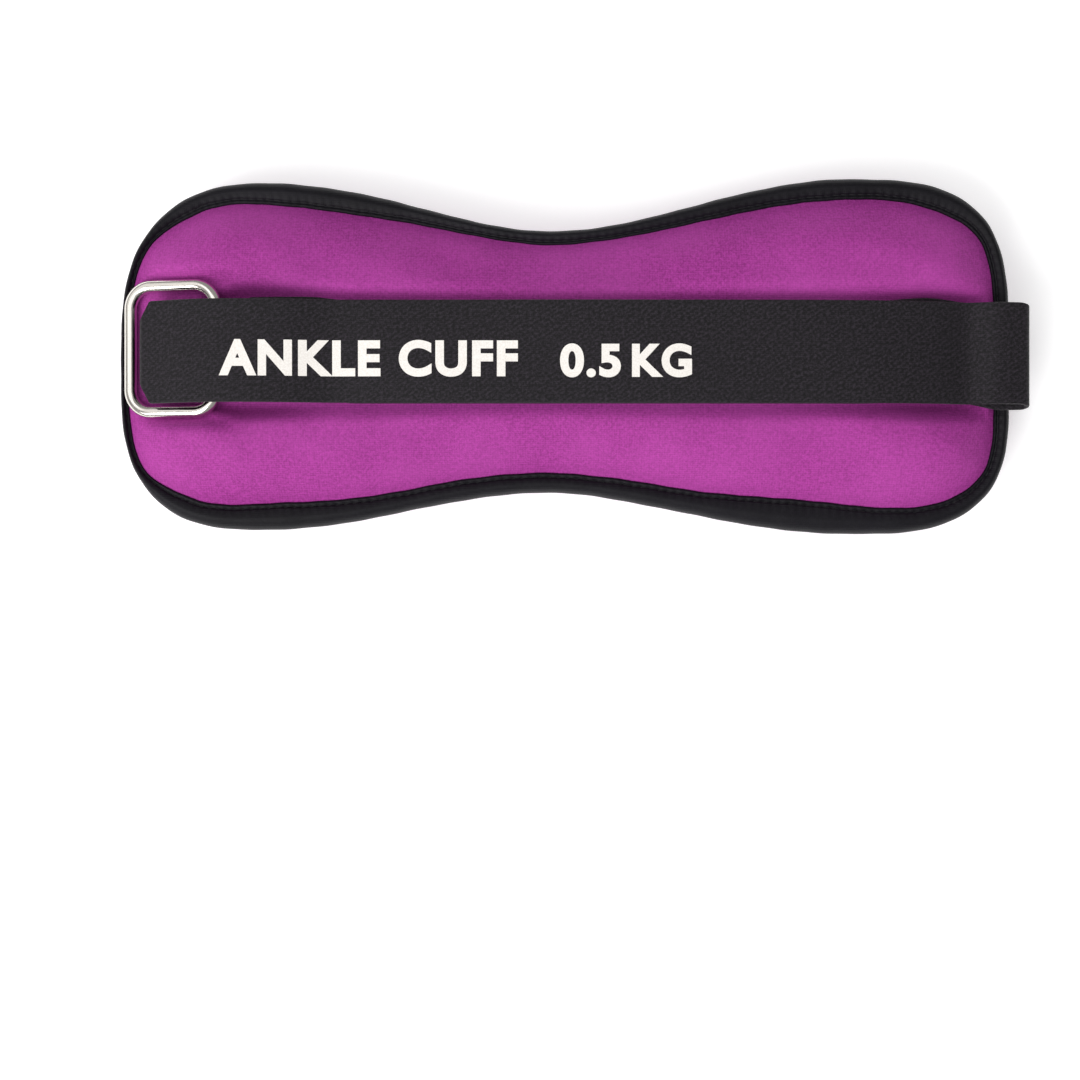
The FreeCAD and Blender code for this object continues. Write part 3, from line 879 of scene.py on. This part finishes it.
@dataclass
class EdgeBand:
    """The black knit band: folded over both covers' edges, padded round and sewn down in a groove."""

    shape: PadShape
    finishes: Finishes
    high: float = 4.3
    ankle_width: float = 6.4
    bead: tuple[tuple[float, float], ...] = (
        (1.75, 4.02), (1.45, 3.52), (1.25, 3.3), (1.02, 3.42), (0.75, 3.62),
        (0.42, 3.6), (0.12, 3.2), (-0.02, 2.5), (-0.05, 1.7),
    )  # back from the inner edge, height: down into the stitched groove, over the bead, under the lip

    def section(self, width: np.ndarray, ankle_width: np.ndarray) -> tuple[np.ndarray, np.ndarray]:
        """The band's section at each place, as insets and heights from the middle plane.

        Args:
            width: The band's width on the outer face at each place.
            ankle_width: The same on the ankle face.
        Returns:
            Insets and heights, one row for each place.
        """
        insets, heights = [], []
        for w, sign in ((width, 1.0), (ankle_width, -1.0)):
            k = np.clip(w / 5.2, 0.6, 1.0)
            crest = np.minimum(0.47 * w, w - 1.6 * k)
            turn = np.linspace(0.0, math.pi / 2.0, 11)
            u = [crest * (1.0 - math.cos(a)) for a in turn]
            z = [np.full_like(w, self.high * math.sin(a)) for a in turn]
            for back, height in self.bead:
                u.append(w - back * k)
                z.append(np.full_like(w, height))
            if sign < 0:
                u, z = u[::-1][:-1], z[::-1][:-1]
            insets += u
            heights += [sign * h for h in z]
        return np.stack(insets, 1), np.stack(heights, 1)

    def build(self) -> None:
        """Sweeps the band round the outline and parts it over the bends."""
        s = self.shape
        points, normals = s.outline(1300)
        points, normals = self.with_stations(points, normals)
        length = np.concatenate([[0.0], np.cumsum(np.linalg.norm(np.diff(points, axis=0), axis=1))])
        rng = np.random.default_rng(SEED)
        slow = sum(
            rng.uniform(0.06, 0.16) * np.sin(length * math.tau / span + rng.uniform(0, 6.0))
            for span in (61.0, 37.0, 23.0, 14.0, 9.0)
        )
        pucker = np.sin(length * math.tau / 2.2)
        width = s.edge_width(points, normals) + 0.6 * slow
        inset, height = self.section(width, np.full_like(width, self.ankle_width))
        groove = np.exp(-(((width[:, None] - inset) - 1.25) / 0.8) ** 2)
        height += np.sign(height) * (0.10 * pucker[:, None] * groove + 0.25 * slow[:, None])
        inset = inset - 0.25 * slow[:, None]
        ring = np.zeros((*inset.shape, 3))
        ring[:, :, :2] = points[:, None] - normals[:, None] * inset[:, :, None]
        ring[:, :, 2] = s.mid_z + height
        shade = grid_normals(ring, True, True)
        outside = int(np.argmin(inset[0]))
        if np.mean(np.sum(shade[:, outside, :2] * normals, axis=1)) < 0.0:
            shade = -shade
        crossing = [i for i in range(len(points)) if any(abs(points[i, 0] - c) < 1e-6 for c in STRIP_ENDS)]
        groove_at = {1: 12, -1: -13}
        for a, b in zip(crossing, crossing[1:] + [crossing[0] + len(points)]):
            rows = np.arange(a, b + 1) % len(points)
            middle = points[rows[len(rows) // 2], 0]
            joint = next(j for j in Joint if strip_span(j.index)[0] < middle < strip_span(j.index)[1])
            where = "" if joint.index in (0, 3) else ("_top" if points[rows[3], 1] > 0 else "_bottom")
            band = ring[rows]
            piece = tube(f"edge_band_{joint.index + 1}{where}", band, shade[rows], self.finishes.edge)
            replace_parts(piece, f"edge_binding_{joint.index + 1}", f"edge_binding_{joint.index + 2}")
            joint.bend(piece)
            for side, column in groove_at.items():
                line = band[:, column] + [0.0, 0.0, -0.2 * side]
                sewn = Stitches(self.finishes.thread, pitch=2.2, length=2.1, width=0.36, height=0.4)
                face = Side(side).name.lower()
                sewn.row(f"edge_stitches_{joint.index + 1}{where}_{face}", line, joint.bend)

    def with_stations(
        self, points: np.ndarray, normals: np.ndarray
    ) -> tuple[np.ndarray, np.ndarray]:
        """Adds a point to the outline wherever the covers are parted."""
        for cut in STRIP_ENDS:
            for _ in range(2):
                ahead = np.roll(points, -1, 0)
                cross = (points[:, 0] - cut) * (ahead[:, 0] - cut) < 0.0
                hits = np.nonzero(cross)[0]
                if not len(hits):
                    break
                i = int(hits[0])
                j = (i + 1) % len(points)
                t = (cut - points[i, 0]) / (points[j, 0] - points[i, 0])
                point = points[i] * (1 - t) + points[j] * t
                point[0] = cut
                normal = normals[i] * (1 - t) + normals[j] * t
                points = np.insert(points, i + 1, point, 0)
                normals = np.insert(normals, i + 1, normal, 0)
        return points, normals


@dataclass
class Stitches:
    """Rows of lockstitch, made by one geometry tree."""

    thread: bpy.types.Material
    pitch: float = 3.0
    length: float = 2.3
    width: float = 0.5
    height: float = 0.45

    def tree(self) -> bpy.types.NodeTree:
        """Builds the tree once: a stitch at every pitch along a line."""
        name = "stitch_row"
        if name in bpy.data.node_groups:
            return bpy.data.node_groups[name]
        tree = bpy.data.node_groups.new(name, "GeometryNodeTree")
        face = tree.interface
        face.new_socket("Geometry", in_out="INPUT", socket_type="NodeSocketGeometry")
        for label in ("Pitch", "Length", "Width", "Height"):
            face.new_socket(label, in_out="INPUT", socket_type="NodeSocketFloat")
        face.new_socket("Thread", in_out="INPUT", socket_type="NodeSocketMaterial")
        face.new_socket("Geometry", in_out="OUTPUT", socket_type="NodeSocketGeometry")
        given = tree.nodes.new("NodeGroupInput")
        line = add_node(tree, "GeometryNodeMeshToCurve", {0: given.outputs["Geometry"]})
        steps = {"Curve": line.outputs[0], "Length": given.outputs["Pitch"]}
        spaced = add_node(tree, "GeometryNodeResampleCurve", steps, mode="LENGTH")
        tangent = add_node(tree, "GeometryNodeInputTangent")
        turned = add_node(tree, "FunctionNodeAlignEulerToVector", {"Vector": tangent.outputs[0]}, axis="X")
        ball = add_node(tree, "GeometryNodeMeshIcoSphere", {"Radius": 0.5, "Subdivisions": 2})
        sizes = {0: given.outputs["Length"], 1: given.outputs["Width"], 2: given.outputs["Height"]}
        scale = add_node(tree, "ShaderNodeCombineXYZ", sizes)
        sewn = {"Points": spaced.outputs[0], "Instance": ball.outputs[0]}
        sewn |= {"Rotation": turned.outputs[0], "Scale": scale.outputs[0]}
        placed = add_node(tree, "GeometryNodeInstanceOnPoints", sewn)
        real = add_node(tree, "GeometryNodeRealizeInstances", {0: placed.outputs[0]})
        smoothed = add_node(tree, "GeometryNodeSetShadeSmooth", {0: real.outputs[0]})
        worn = {"Geometry": smoothed.outputs[0], "Material": given.outputs["Thread"]}
        dressed = add_node(tree, "GeometryNodeSetMaterial", worn)
        given_out = tree.nodes.new("NodeGroupOutput")
        tree.links.new(dressed.outputs[0], given_out.inputs[0])
        return tree

    def row(self, name: str, line: np.ndarray, attach: Attach) -> bpy.types.Object:
        """Makes a row of stitches.

        Args:
            name: The row's name.
            line: Points of the row, in millimetres.
            attach: A function that is handed the finished piece; it bakes the piece's transform.
        Returns:
            The row as a plain mesh.
        """
        mesh = bpy.data.meshes.new(name)
        mesh.from_pydata((np.asarray(line) * MM).tolist(), [(i, i + 1) for i in range(len(line) - 1)], [])
        row = bpy.data.objects.new(name, mesh)
        bpy.context.scene.collection.objects.link(row)
        modifier = row.modifiers.new("stitches", "NODES")
        modifier.node_group = self.tree()
        values = {"Pitch": self.pitch * MM, "Length": self.length * MM, "Thread": self.thread}
        values |= {"Width": self.width * MM, "Height": self.height * MM}
        for socket in modifier.node_group.interface.items_tree:
            if socket.in_out == "INPUT" and socket.name in values:
                modifier[socket.identifier] = values[socket.name]
        apply_modifiers(row)
        attach(row)
        return row


@dataclass
class Webbing:
    """One length of webbing: looped round the ring, sewn along the pad, folded and laid back."""

    shape: PadShape
    finishes: Finishes
    thickness: float = 1.25
    skew: float = -1.2
    left_drift: float = 1.1
    tab_width: float = 17.5
    fold_radius: float = 1.35
    around_half: int = 22
    line: np.ndarray = field(init=False)
    length: np.ndarray = field(init=False)
    marks: dict = field(init=False)

    def __post_init__(self) -> None:
        """Lays the middle line: tab, base, fold, strap."""
        top = self.shape.cover_top
        radius = WIRE_R + 0.25 + WEB_T / 2
        bar = self.bar_height()
        end_z = float(top(TAB_END)) + GAP + WEB_T * 1.5 + 0.05
        points = [(TAB_END, end_z), (-77.5, end_z + 0.7), (-82.5, bar + radius - 0.35)]
        turn = (-1.57, -0.8, 0.0, 0.8, 1.57)
        points += [(RING_X - radius * math.cos(a), bar - radius * math.sin(a)) for a in turn]
        sewn = (-82.0, -77.0, TAB_END, *range(-62, 94, 12), 90, 97, 102)
        points += [(x, float(top(x)) + GAP + WEB_T / 2) for x in sewn]
        r = self.fold_radius
        points += [(FOLD_X + r * math.sin(a), FOLD_Z - r * math.cos(a)) for a in np.linspace(0.0, math.pi, 7)]
        points.append((104.0, FOLD_Z + 2.1))
        lift = GAP + WEB_T + GAP + PATCH_T + 0.05 + STRAP_T / 2
        points += [(x, float(top(x)) + lift) for x in (97, 89, 77, 63, 50, 36, 18, 0, -18, -34, -48, -58)]
        over = bar + WIRE_R + 0.25 + WEB_T + GAP + PATCH_T + 0.05 + STRAP_T / 2
        points += [(-70.0, over - 0.6), (-79.0, over + 0.15), (RING_X, over)]
        points += [(-94.0, over - 1.6), (-100.0, over - 4.0), (TIP_X, over - 6.0)]
        self.line = spline(points, 0.45)
        step = np.linalg.norm(np.diff(self.line, axis=0), axis=1)
        self.length = np.concatenate([[0.0], np.cumsum(step)])
        start = self.line[: len(self.line) // 4, 0]
        self.marks = {"turn": int(np.argmin(start)), "fold": int(np.argmax(self.line[:, 0]))}

    def bar_height(self) -> float:
        """Height of the ring's bar in the tab."""
        return float(self.shape.cover_top(RING_X)) + GAP + WEB_T + 0.25 + WIRE_R

    def place(self, x: float, layer: str) -> int:
        """The number of the point at a station, on the base layer or on the strap."""
        fold = self.marks["fold"]
        span = range(self.marks["turn"], fold) if layer == "base" else range(fold, len(self.line))
        return min(span, key=lambda i: abs(self.line[i, 0] - x))

    def off_fold(self, number: int) -> float:
        """How far along the cuff a point of the line is from the fold's axis."""
        return abs(self.line[number, 0] - FOLD_X)

    def ripple(self, x: np.ndarray, y: np.ndarray) -> np.ndarray:
        """How the strap's face lifts and dips as it lies."""
        edge = (y / (WEB_W / 2)) ** 2
        return 0.16 * edge * np.sin(x / 15.0 + 0.9) + 0.10 * np.sin(x / 9.3 + y / 7.0) + 0.12 * (1.0 - edge)

    def strap_top(self, x: np.ndarray, y: np.ndarray) -> np.ndarray:
        """Height of the strap's printed face."""
        part = self.line[self.place(FOLD_X - 3.0, "strap") :][::-1]
        return np.interp(x, part[:, 0], part[:, 1]) + self.thickness / 2 + self.ripple(x, y)

    def ribbon(
        self, half: np.ndarray, thick: np.ndarray, offset: float = 0.0
    ) -> tuple[np.ndarray, np.ndarray, np.ndarray]:
        """Sweeps a thin rounded bar along the middle line.

        Args:
            half: Half width at each point of the line.
            thick: Thickness at each point.
            offset: How far the bar lies from the line, towards the strap's printed face if positive.
        Returns:
            The points and normals as rows by around by 3 arrays, and the UV places in metres.
        """
        line = self.line
        tangent = np.gradient(line, axis=0)
        tangent /= np.linalg.norm(tangent, axis=1, keepdims=True)
        out = np.stack([tangent[:, 1], -tangent[:, 0]], 1)
        s = np.linspace(-1.0, 1.0, self.around_half)
        a = np.linspace(0.0, math.pi, 7)[1:-1]
        flat = np.concatenate([s, np.ones(5), s[::-1], -np.ones(5)])
        bulge = np.concatenate([0 * s, np.sin(a), 0 * s, -np.sin(a)])
        up = np.concatenate([0 * s + 1.0, np.cos(a), 0 * s - 1.0, -np.cos(a)])
        r = thick[:, None] / 2
        y = flat[None] * (half[:, None] - 0.45 * r) + bulge[None] * 0.45 * r + self.side_shift()[:, None]
        rise = up[None] * r + offset
        grid = np.zeros((*y.shape, 3))
        grid[:, :, 0] = line[:, :1] + out[:, :1] * rise
        grid[:, :, 1] = y
        grid[:, :, 2] = line[:, 1:] + out[:, 1:] * rise
        on_strap = smooth((self.length - self.length[self.marks["fold"]] - 4.0) / 12.0)
        grid[:, :, 2] += on_strap[:, None] * self.ripple(grid[:, :, 0], y)
        normals = grid_normals(grid, False, True)
        if np.mean(np.sum(normals[:, 2, (0, 2)] * out, axis=1)) < 0.0:
            normals = -normals
        uv = np.stack([np.repeat(self.length[:, None], y.shape[1], 1), y + bulge[None] * 0.3], 2) * MM
        return grid, normals, uv

    def side_shift(self) -> np.ndarray:
        """The base layer runs a little aslant at the right end, so its edge shows below the strap."""
        x = self.line[:, 0]
        fold = self.marks["fold"]
        drift = self.skew * smooth((x - 97.0) / 9.0) + self.left_drift * smooth((-52.0 - x) / 14.0)
        drift += 1.1 * np.exp(-(((x - 87.0) / 9.0) ** 2))
        back = smooth((self.length - self.length[fold] + 2.0) / 5.0)
        return drift * (1.0 - back)

    def half_widths(self) -> np.ndarray:
        """Half width: gathered in the ring, full elsewhere, with clipped corners at the tip."""
        half = np.full(len(self.line), WEB_W / 2)
        s = self.length
        flat = self.place(-78.0, "base")
        gathered = 1.0 - smooth((s - s[flat] + 7.0) / 7.0)
        half -= gathered * (WEB_W - self.tab_width) / 2
        left = s[-1] - s
        half = np.minimum(half, WEB_W / 2 - np.clip(TIP_CLIP - left, 0.0, TIP_CLIP) * 1.7)
        return half

    def piece(
        self, name: str, first: int, last: int, sweep: tuple, material: bpy.types.Material
    ) -> bpy.types.Object:
        """Makes one length of a swept band, with its UV map."""
        grid, normals, uv = (part[first : last + 1] for part in sweep)
        made = tube(name, grid, normals, material)
        layer = made.data.uv_layers.new(name="along_the_webbing")
        number = np.zeros(len(made.data.loops), int)
        made.data.loops.foreach_get("vertex_index", number)
        layer.data.foreach_set("uv", uv.reshape(-1, 2)[number].ravel())
        return made

    def bend_root(self, piece: bpy.types.Object) -> None:
        """Bakes a piece's transform into its mesh; the piece does not curl."""
        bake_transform(piece)

    def bend_tip(self, piece: bpy.types.Object) -> None:
        """Bakes a piece's transform into its mesh; the piece does not curl."""
        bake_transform(piece)

    def build(self) -> None:
        """Builds every layer of the webbing, its stitches and its patches."""
        thick = np.full(len(self.line), self.thickness)
        for at, end in ((self.length, 0.0), (self.length, self.length[-1])):
            thick *= 0.35 + 0.65 * smooth(np.abs(at - end) / 0.9 + 0.1)
        sweep = self.ribbon(self.half_widths(), thick)
        weave = self.finishes.webbing
        start = self.place(-66.0, "base")
        tab = self.piece("ring_tab_loop", 0, start, sweep, weave)
        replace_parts(tab, "ring_tab")
        Joint.LEFT_END.bend(tab)
        fold_at = self.marks["fold"]
        low_fold = min(range(self.place(90.0, "base"), fold_at + 1), key=self.off_fold)
        for joint in Joint:
            low, high = strip_span(joint.index)
            first = start if joint.index == 0 else self.place(low, "base")
            last = low_fold if joint.index == 3 else self.place(high, "base")
            base = self.piece(f"base_webbing_run_{joint.index + 1}", first, last, sweep, weave)
            numbers = (1, 2) if joint.index == 0 else (joint.index + 2,)
            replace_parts(base, *[f"base_webbing_{k}" for k in numbers])
            joint.bend(base)
            row_end = self.place(101.0, "base") if joint.index == 3 else last
            shift = self.side_shift()
            for sign in (1, -1):
                above = self.line[:, 1] + self.thickness / 2 + 0.05
                line = np.stack([self.line[:, 0], sign * 10.6 + shift, above], 1)
                stitch = Stitches(self.finishes.thread, pitch=2.6, length=2.0)
                word = "upper" if sign > 0 else "lower"
                sewn = line[first + 4 : row_end - 1]
                stitch.row(f"base_stitches_{joint.index + 1}_{word}", sewn, joint.bend)
        self.build_tab_stitches()
        high_fold = min(range(fold_at, self.place(90.0, "strap")), key=self.off_fold)
        split = self.place(STRAP_SPLIT, "strap")
        fold = self.piece("strap_fold", low_fold, high_fold, sweep, weave)
        root = self.piece("strap_first_half", high_fold, split, sweep, weave)
        tip = self.piece("strap_second_half", split, len(self.line) - 1, sweep, weave)
        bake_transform(fold)
        self.bend_root(root)
        self.bend_tip(tip)
        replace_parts(root, "strap_root", "strap_middle")
        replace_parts(tip, "strap_tip")
        self.build_patches()
        log.info("webbing: %d stations", len(self.line))

    def build_tab_stitches(self) -> None:
        """Sews the tab's end down with two rows across."""
        for k, x in enumerate((TAB_END - 1.6, TAB_END - 5.0)):
            i = int(np.argmin(np.abs(self.line[: self.marks["turn"], 0] - x)))
            z = self.line[i, 1] + self.thickness / 2 + 0.05
            line = np.array([[x, y, z] for y in np.linspace(-7.5, 7.5, 31)])
            row = Stitches(self.finishes.thread, pitch=2.2, length=1.8)
            row.row(f"tab_stitches_{k + 1}", line, Joint.LEFT_END.bend)

    def build_patches(self) -> None:
        """Builds the loop pile and the hook tape on the strap's under face."""
        drop = -(self.thickness / 2 + 0.28)
        sweep = self.ribbon(np.full(len(self.line), 11.0), np.full(len(self.line), 0.45), drop)
        split = self.place(STRAP_SPLIT, "strap")
        plan = (
            ("loop_pile_first", 90.0, STRAP_SPLIT, self.finishes.pile, Tuft.LOOP, self.bend_root),
            ("loop_pile_second", STRAP_SPLIT, -45.0, self.finishes.pile, Tuft.LOOP, self.bend_tip),
            ("hook_tape", -50.0, -101.0, self.finishes.hooks, Tuft.HOOK, self.bend_tip),
        )
        nodes = (("loop_patch_root", "loop_patch_middle"), ("loop_patch_tip",), ("hook_patch",))
        for (name, high, low, finish, tuft, bend), replaced in zip(plan, nodes):
            first = split if high == STRAP_SPLIT else self.place(high, "strap")
            last = split if low == STRAP_SPLIT else self.place(low, "strap")
            tape = self.piece(name, first, last, sweep, finish)
            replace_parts(tape, *replaced)
            bend(tape)
            middle = self.line[first + 2 : last - 1]
            Tufts(tuft, finish).build(f"{name}_tufts", middle - [0.0, self.thickness / 2 + 0.5], bend)


class Tuft(Enum):
    """The two faces of the fastener."""

    LOOP = ("loop_pile", 1.15)
    HOOK = ("hook_tape", 1.55)

    @property
    def slot(self) -> str:
        """The record's material slot."""
        return self.value[0]

    @property
    def pitch(self) -> float:
        """Distance between neighbours, in millimetres."""
        return self.value[1]


@dataclass
class Tufts:
    """Rows of small loops or hooks that stand down from the strap, made by a geometry tree."""

    kind: Tuft
    material: bpy.types.Material

    def tree(self) -> bpy.types.NodeTree:
        """Builds the tree: a loop, or a stem with a head, at every point, turned at random."""
        name = f"{self.kind.name.lower()}_rows"
        if name in bpy.data.node_groups:
            return bpy.data.node_groups[name]
        tree = bpy.data.node_groups.new(name, "GeometryNodeTree")
        tree.interface.new_socket("Geometry", in_out="INPUT", socket_type="NodeSocketGeometry")
        tree.interface.new_socket("Finish", in_out="INPUT", socket_type="NodeSocketMaterial")
        tree.interface.new_socket("Geometry", in_out="OUTPUT", socket_type="NodeSocketGeometry")
        given = tree.nodes.new("NodeGroupInput")
        if self.kind is Tuft.LOOP:
            ring, thread = {"Resolution": 7, "Radius": 0.42 * MM}, {"Resolution": 3, "Radius": 0.09 * MM}
            circle = add_node(tree, "GeometryNodeCurvePrimitiveCircle", ring)
            wire = add_node(tree, "GeometryNodeCurvePrimitiveCircle", thread)
            path = {"Curve": circle.outputs[0], "Profile Curve": wire.outputs[0]}
            swept = add_node(tree, "GeometryNodeCurveToMesh", path)
            stand = {"Geometry": swept.outputs[0], "Rotation": (math.pi / 2, 0.0, 0.0)}
            shape = add_node(tree, "GeometryNodeTransform", stand).outputs[0]
        else:
            taper = {"Vertices": 6, "Radius Top": 0.14 * MM, "Radius Bottom": 0.1 * MM, "Depth": 0.5 * MM}
            stem = add_node(tree, "GeometryNodeMeshCone", taper)
            drop = {"Geometry": stem.outputs[0], "Translation": (0.0, 0.0, -0.3 * MM)}
            lower = add_node(tree, "GeometryNodeTransform", drop)
            head = add_node(tree, "GeometryNodeMeshIcoSphere", {"Radius": 0.28 * MM, "Subdivisions": 2})
            press = {"Geometry": head.outputs[0], "Scale": (1.0, 1.0, 0.45)}
            press["Translation"] = (0.0, 0.0, -0.33 * MM)
            flat = add_node(tree, "GeometryNodeTransform", press)
            joined = tree.nodes.new("GeometryNodeJoinGeometry")
            tree.links.new(lower.outputs[0], joined.inputs[0])
            tree.links.new(flat.outputs[0], joined.inputs[0])
            shape = joined.outputs[0]
        turns = {"Min": (0.0, 0.0, 0.0), "Max": (0.3, 0.3, math.tau), "Seed": SEED}
        spin = add_node(tree, "FunctionNodeRandomValue", turns, data_type="FLOAT_VECTOR")
        sown = {"Points": given.outputs[0], "Instance": shape, "Rotation": spin.outputs[0]}
        placed = add_node(tree, "GeometryNodeInstanceOnPoints", sown)
        real = add_node(tree, "GeometryNodeRealizeInstances", {0: placed.outputs[0]})
        worn = {"Geometry": real.outputs[0], "Material": given.outputs["Finish"]}
        dressed = add_node(tree, "GeometryNodeSetMaterial", worn)
        out = tree.nodes.new("NodeGroupOutput")
        tree.links.new(dressed.outputs[0], out.inputs[0])
        return tree

    def build(self, name: str, line: np.ndarray, attach: Attach) -> None:
        """Sets rows of tufts along a line.

        Args:
            name: The piece's name.
            line: Points (x, z) of the tape's under face, in millimetres.
            attach: A function that is handed the finished piece; it bakes the piece's transform.
        """
        pitch = self.kind.pitch
        length = np.concatenate([[0.0], np.cumsum(np.linalg.norm(np.diff(line, axis=0), axis=1))])
        at = np.arange(0.0, length[-1], pitch)
        points = []
        for k, s in enumerate(at):
            x, z = np.interp(s, length, line[:, 0]), np.interp(s, length, line[:, 1])
            points += [(x, y + 0.5 * pitch * (k % 2), z) for y in np.arange(-10.2, 9.7, pitch)]
        mesh = bpy.data.meshes.new(name)
        mesh.from_pydata((np.array(points) * MM).tolist(), [], [])
        piece = bpy.data.objects.new(name, mesh)
        bpy.context.scene.collection.objects.link(piece)
        modifier = piece.modifiers.new("tufts", "NODES")
        modifier.node_group = self.tree()
        for socket in modifier.node_group.interface.items_tree:
            if socket.in_out == "INPUT" and socket.name == "Finish":
                modifier[socket.identifier] = self.material
        apply_modifiers(piece)
        attach(piece)


@dataclass
class Print:
    """Plain block capitals and the weight, printed on the strap."""

    webbing: Webbing
    finishes: Finishes
    layer: float = 0.07
    weight: float = 0.042  # how far each letter's outline is moved out, as a share of its size

    def build(self) -> None:
        """Prints the three marks."""
        self.mark("ANKLE CUFF", -85.2, -13.3, -1.8, 8.9, "word_print", self.webbing.bend_tip, "word_mark")
        self.mark("0.5", -3.1, 11.6, -2.3, 8.2, "weight_print_figures", self.webbing.bend_tip, "weight_mark")
        self.mark("KG", 14.3, 28.8, -2.3, 8.2, "weight_print_unit", self.webbing.bend_root, "weight_mark")

    def mark(
        self, text: str, low: float, high: float, y: float, tall: float, name: str, bend: Attach, node: str
    ) -> None:
        """Makes one printed mark.

        Args:
            text: The letters.
            low: Left end, in millimetres.
            high: Right end, in millimetres.
            y: Middle of the letters across the strap, in millimetres.
            tall: Height of the capitals, in millimetres.
            name: The piece's name.
            bend: A function that is handed the finished piece; it bakes the piece's transform.
            node: The node that it stands for.
        """
        font = bpy.data.curves.new(name, "FONT")
        font.body = text
        font.size = 1.0
        font.offset = self.weight
        font.space_character = 1.12
        font.extrude = 0.01
        maker = bpy.data.objects.new(f"{name}_outline", font)
        bpy.context.scene.collection.objects.link(maker)
        graph = bpy.context.evaluated_depsgraph_get()
        graph.update()
        mesh = bpy.data.meshes.new_from_object(maker.evaluated_get(graph), depsgraph=graph)
        bpy.data.objects.remove(maker)
        co = np.zeros(len(mesh.vertices) * 3)
        mesh.vertices.foreach_get("co", co)
        co = co.reshape(-1, 3)
        least, most = co.min(0), co.max(0)
        share = (co - least) / (most - least)
        top = share[:, 2] > 0.5
        along, across = low + share[:, 0] * (high - low), y + (share[:, 1] - 0.5) * tall
        flat = np.stack([along, across, np.where(top, 1.0, 0.0)], 1)
        mesh.vertices.foreach_set("co", flat.ravel())
        bm = bmesh.new()
        bm.from_mesh(mesh)
        bmesh.ops.remove_doubles(bm, verts=bm.verts, dist=1e-4)
        for axis, span, step in ((0, (low, high), 2.0), (1, (y - tall / 2, y + tall / 2), 2.0)):
            normal = [0.0, 0.0, 0.0]
            normal[axis] = 1.0
            for at in np.arange(span[0] + step, span[1], step):
                place = [0.0, 0.0, 0.0]
                place[axis] = float(at)
                everything = bm.verts[:] + bm.edges[:] + bm.faces[:]
                bmesh.ops.bisect_plane(bm, geom=everything, plane_co=place, plane_no=normal)
        for v in bm.verts:
            base = float(self.webbing.strap_top(np.array(v.co.x), np.array(v.co.y)))
            v.co.z = base + (self.layer if v.co.z > 0.5 else -0.05)
        bmesh.ops.recalc_face_normals(bm, faces=bm.faces)
        bm.to_mesh(mesh)
        bm.free()
        mesh.transform(Matrix.Scale(MM, 4))
        mesh.materials.clear()
        mesh.materials.append(self.finishes.print_white)
        piece = bpy.data.objects.new(name, mesh)
        bpy.context.scene.collection.objects.link(piece)
        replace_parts(piece, node)
        bend(piece)


def dress_nodes(nodes: dict[str, bpy.types.Object], finishes: Finishes) -> None:
    """Gives the solids that stay their finishes."""
    for name, node in nodes.items():
        if name == "ring" or name.startswith("iron_sand"):
            finish = finishes.nickel if name == "ring" else finishes.sand
            node.data.materials.clear()
            node.data.materials.append(finish)
            node.data.polygons.foreach_set("use_smooth", [True] * len(node.data.polygons))


@dataclass
class Studio:
    """A plain floor, soft lights and the camera above."""

    eye: tuple[float, float, float] = (-7.95, -45.75, 455.0)
    lens: float = 59.07

    def floor(self) -> None:
        """Lays a plain near-white floor."""
        material, _, shader = new_material("white_paper_sweep")
        shader.inputs["Base Color"].default_value = linear("#FDFDFD")
        shader.inputs["Roughness"].default_value = 0.9
        shader.inputs["Emission Color"].default_value = linear("#FFFFFF")
        shader.inputs["Emission Strength"].default_value = 0.3
        mesh = bpy.data.meshes.new("floor")
        r = 3.0
        mesh.from_pydata([(-r, -r, 0), (r, -r, 0), (r, r, 0), (-r, r, 0)], [], [(0, 1, 2, 3)])
        mesh.materials.append(material)
        floor = bpy.data.objects.new("floor", mesh)
        bpy.context.scene.collection.objects.link(floor)

    def light(self, name: str, place: tuple[float, float, float], size: float, power: float) -> None:
        """Hangs a square soft light that faces the cuff."""
        data = bpy.data.lights.new(name, "AREA")
        data.shape = "SQUARE"
        data.size = size
        data.energy = power
        lamp = bpy.data.objects.new(name, data)
        lamp.location = place
        lamp.rotation_euler = (Vector((0.0, 0.0, 0.01)) - Vector(place)).to_track_quat("-Z", "Y").to_euler()
        bpy.context.scene.collection.objects.link(lamp)

    def build(self) -> None:
        """Sets the stage."""
        self.floor()
        self.light("key_softbox", (-0.7, -0.85, 1.0), 0.9, 16.5)
        self.light("fill_softbox", (-0.9, 0.5, 0.9), 1.0, 2.2)
        self.light("overhead_softbox", (-0.25, 0.0, 1.6), 1.6, 9.5)
        world = bpy.data.worlds.new("soft_grey_room")
        world.use_nodes = True
        world.node_tree.nodes["Background"].inputs["Color"].default_value = linear("#FFFFFF")
        world.node_tree.nodes["Background"].inputs["Strength"].default_value = 0.36
        bpy.context.scene.world = world
        data = bpy.data.cameras.new("camera")
        data.lens = self.lens
        data.sensor_width = 36.0
        data.clip_start, data.clip_end = 0.01, 20.0
        camera = bpy.data.objects.new("camera", data)
        camera.location = [v * MM for v in self.eye]
        bpy.context.scene.collection.objects.link(camera)
        bpy.context.scene.camera = camera
        bpy.context.scene.view_settings.view_transform = "Standard"


def main() -> None:
    """Builds the cuff's looks around its solids."""
    logging.basicConfig(level=logging.INFO, format="%(name)s: %(message)s")
    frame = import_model()
    finishes = Finishes()
    shape = PadShape()
    dress_nodes(frame["nodes"], finishes)
    Pad(shape, finishes).build()
    EdgeBand(shape, finishes).build()
    webbing = Webbing(shape, finishes)
    webbing.build()
    Print(webbing, finishes).build()
    Studio().build()


if __name__ == "__main__":
    main()
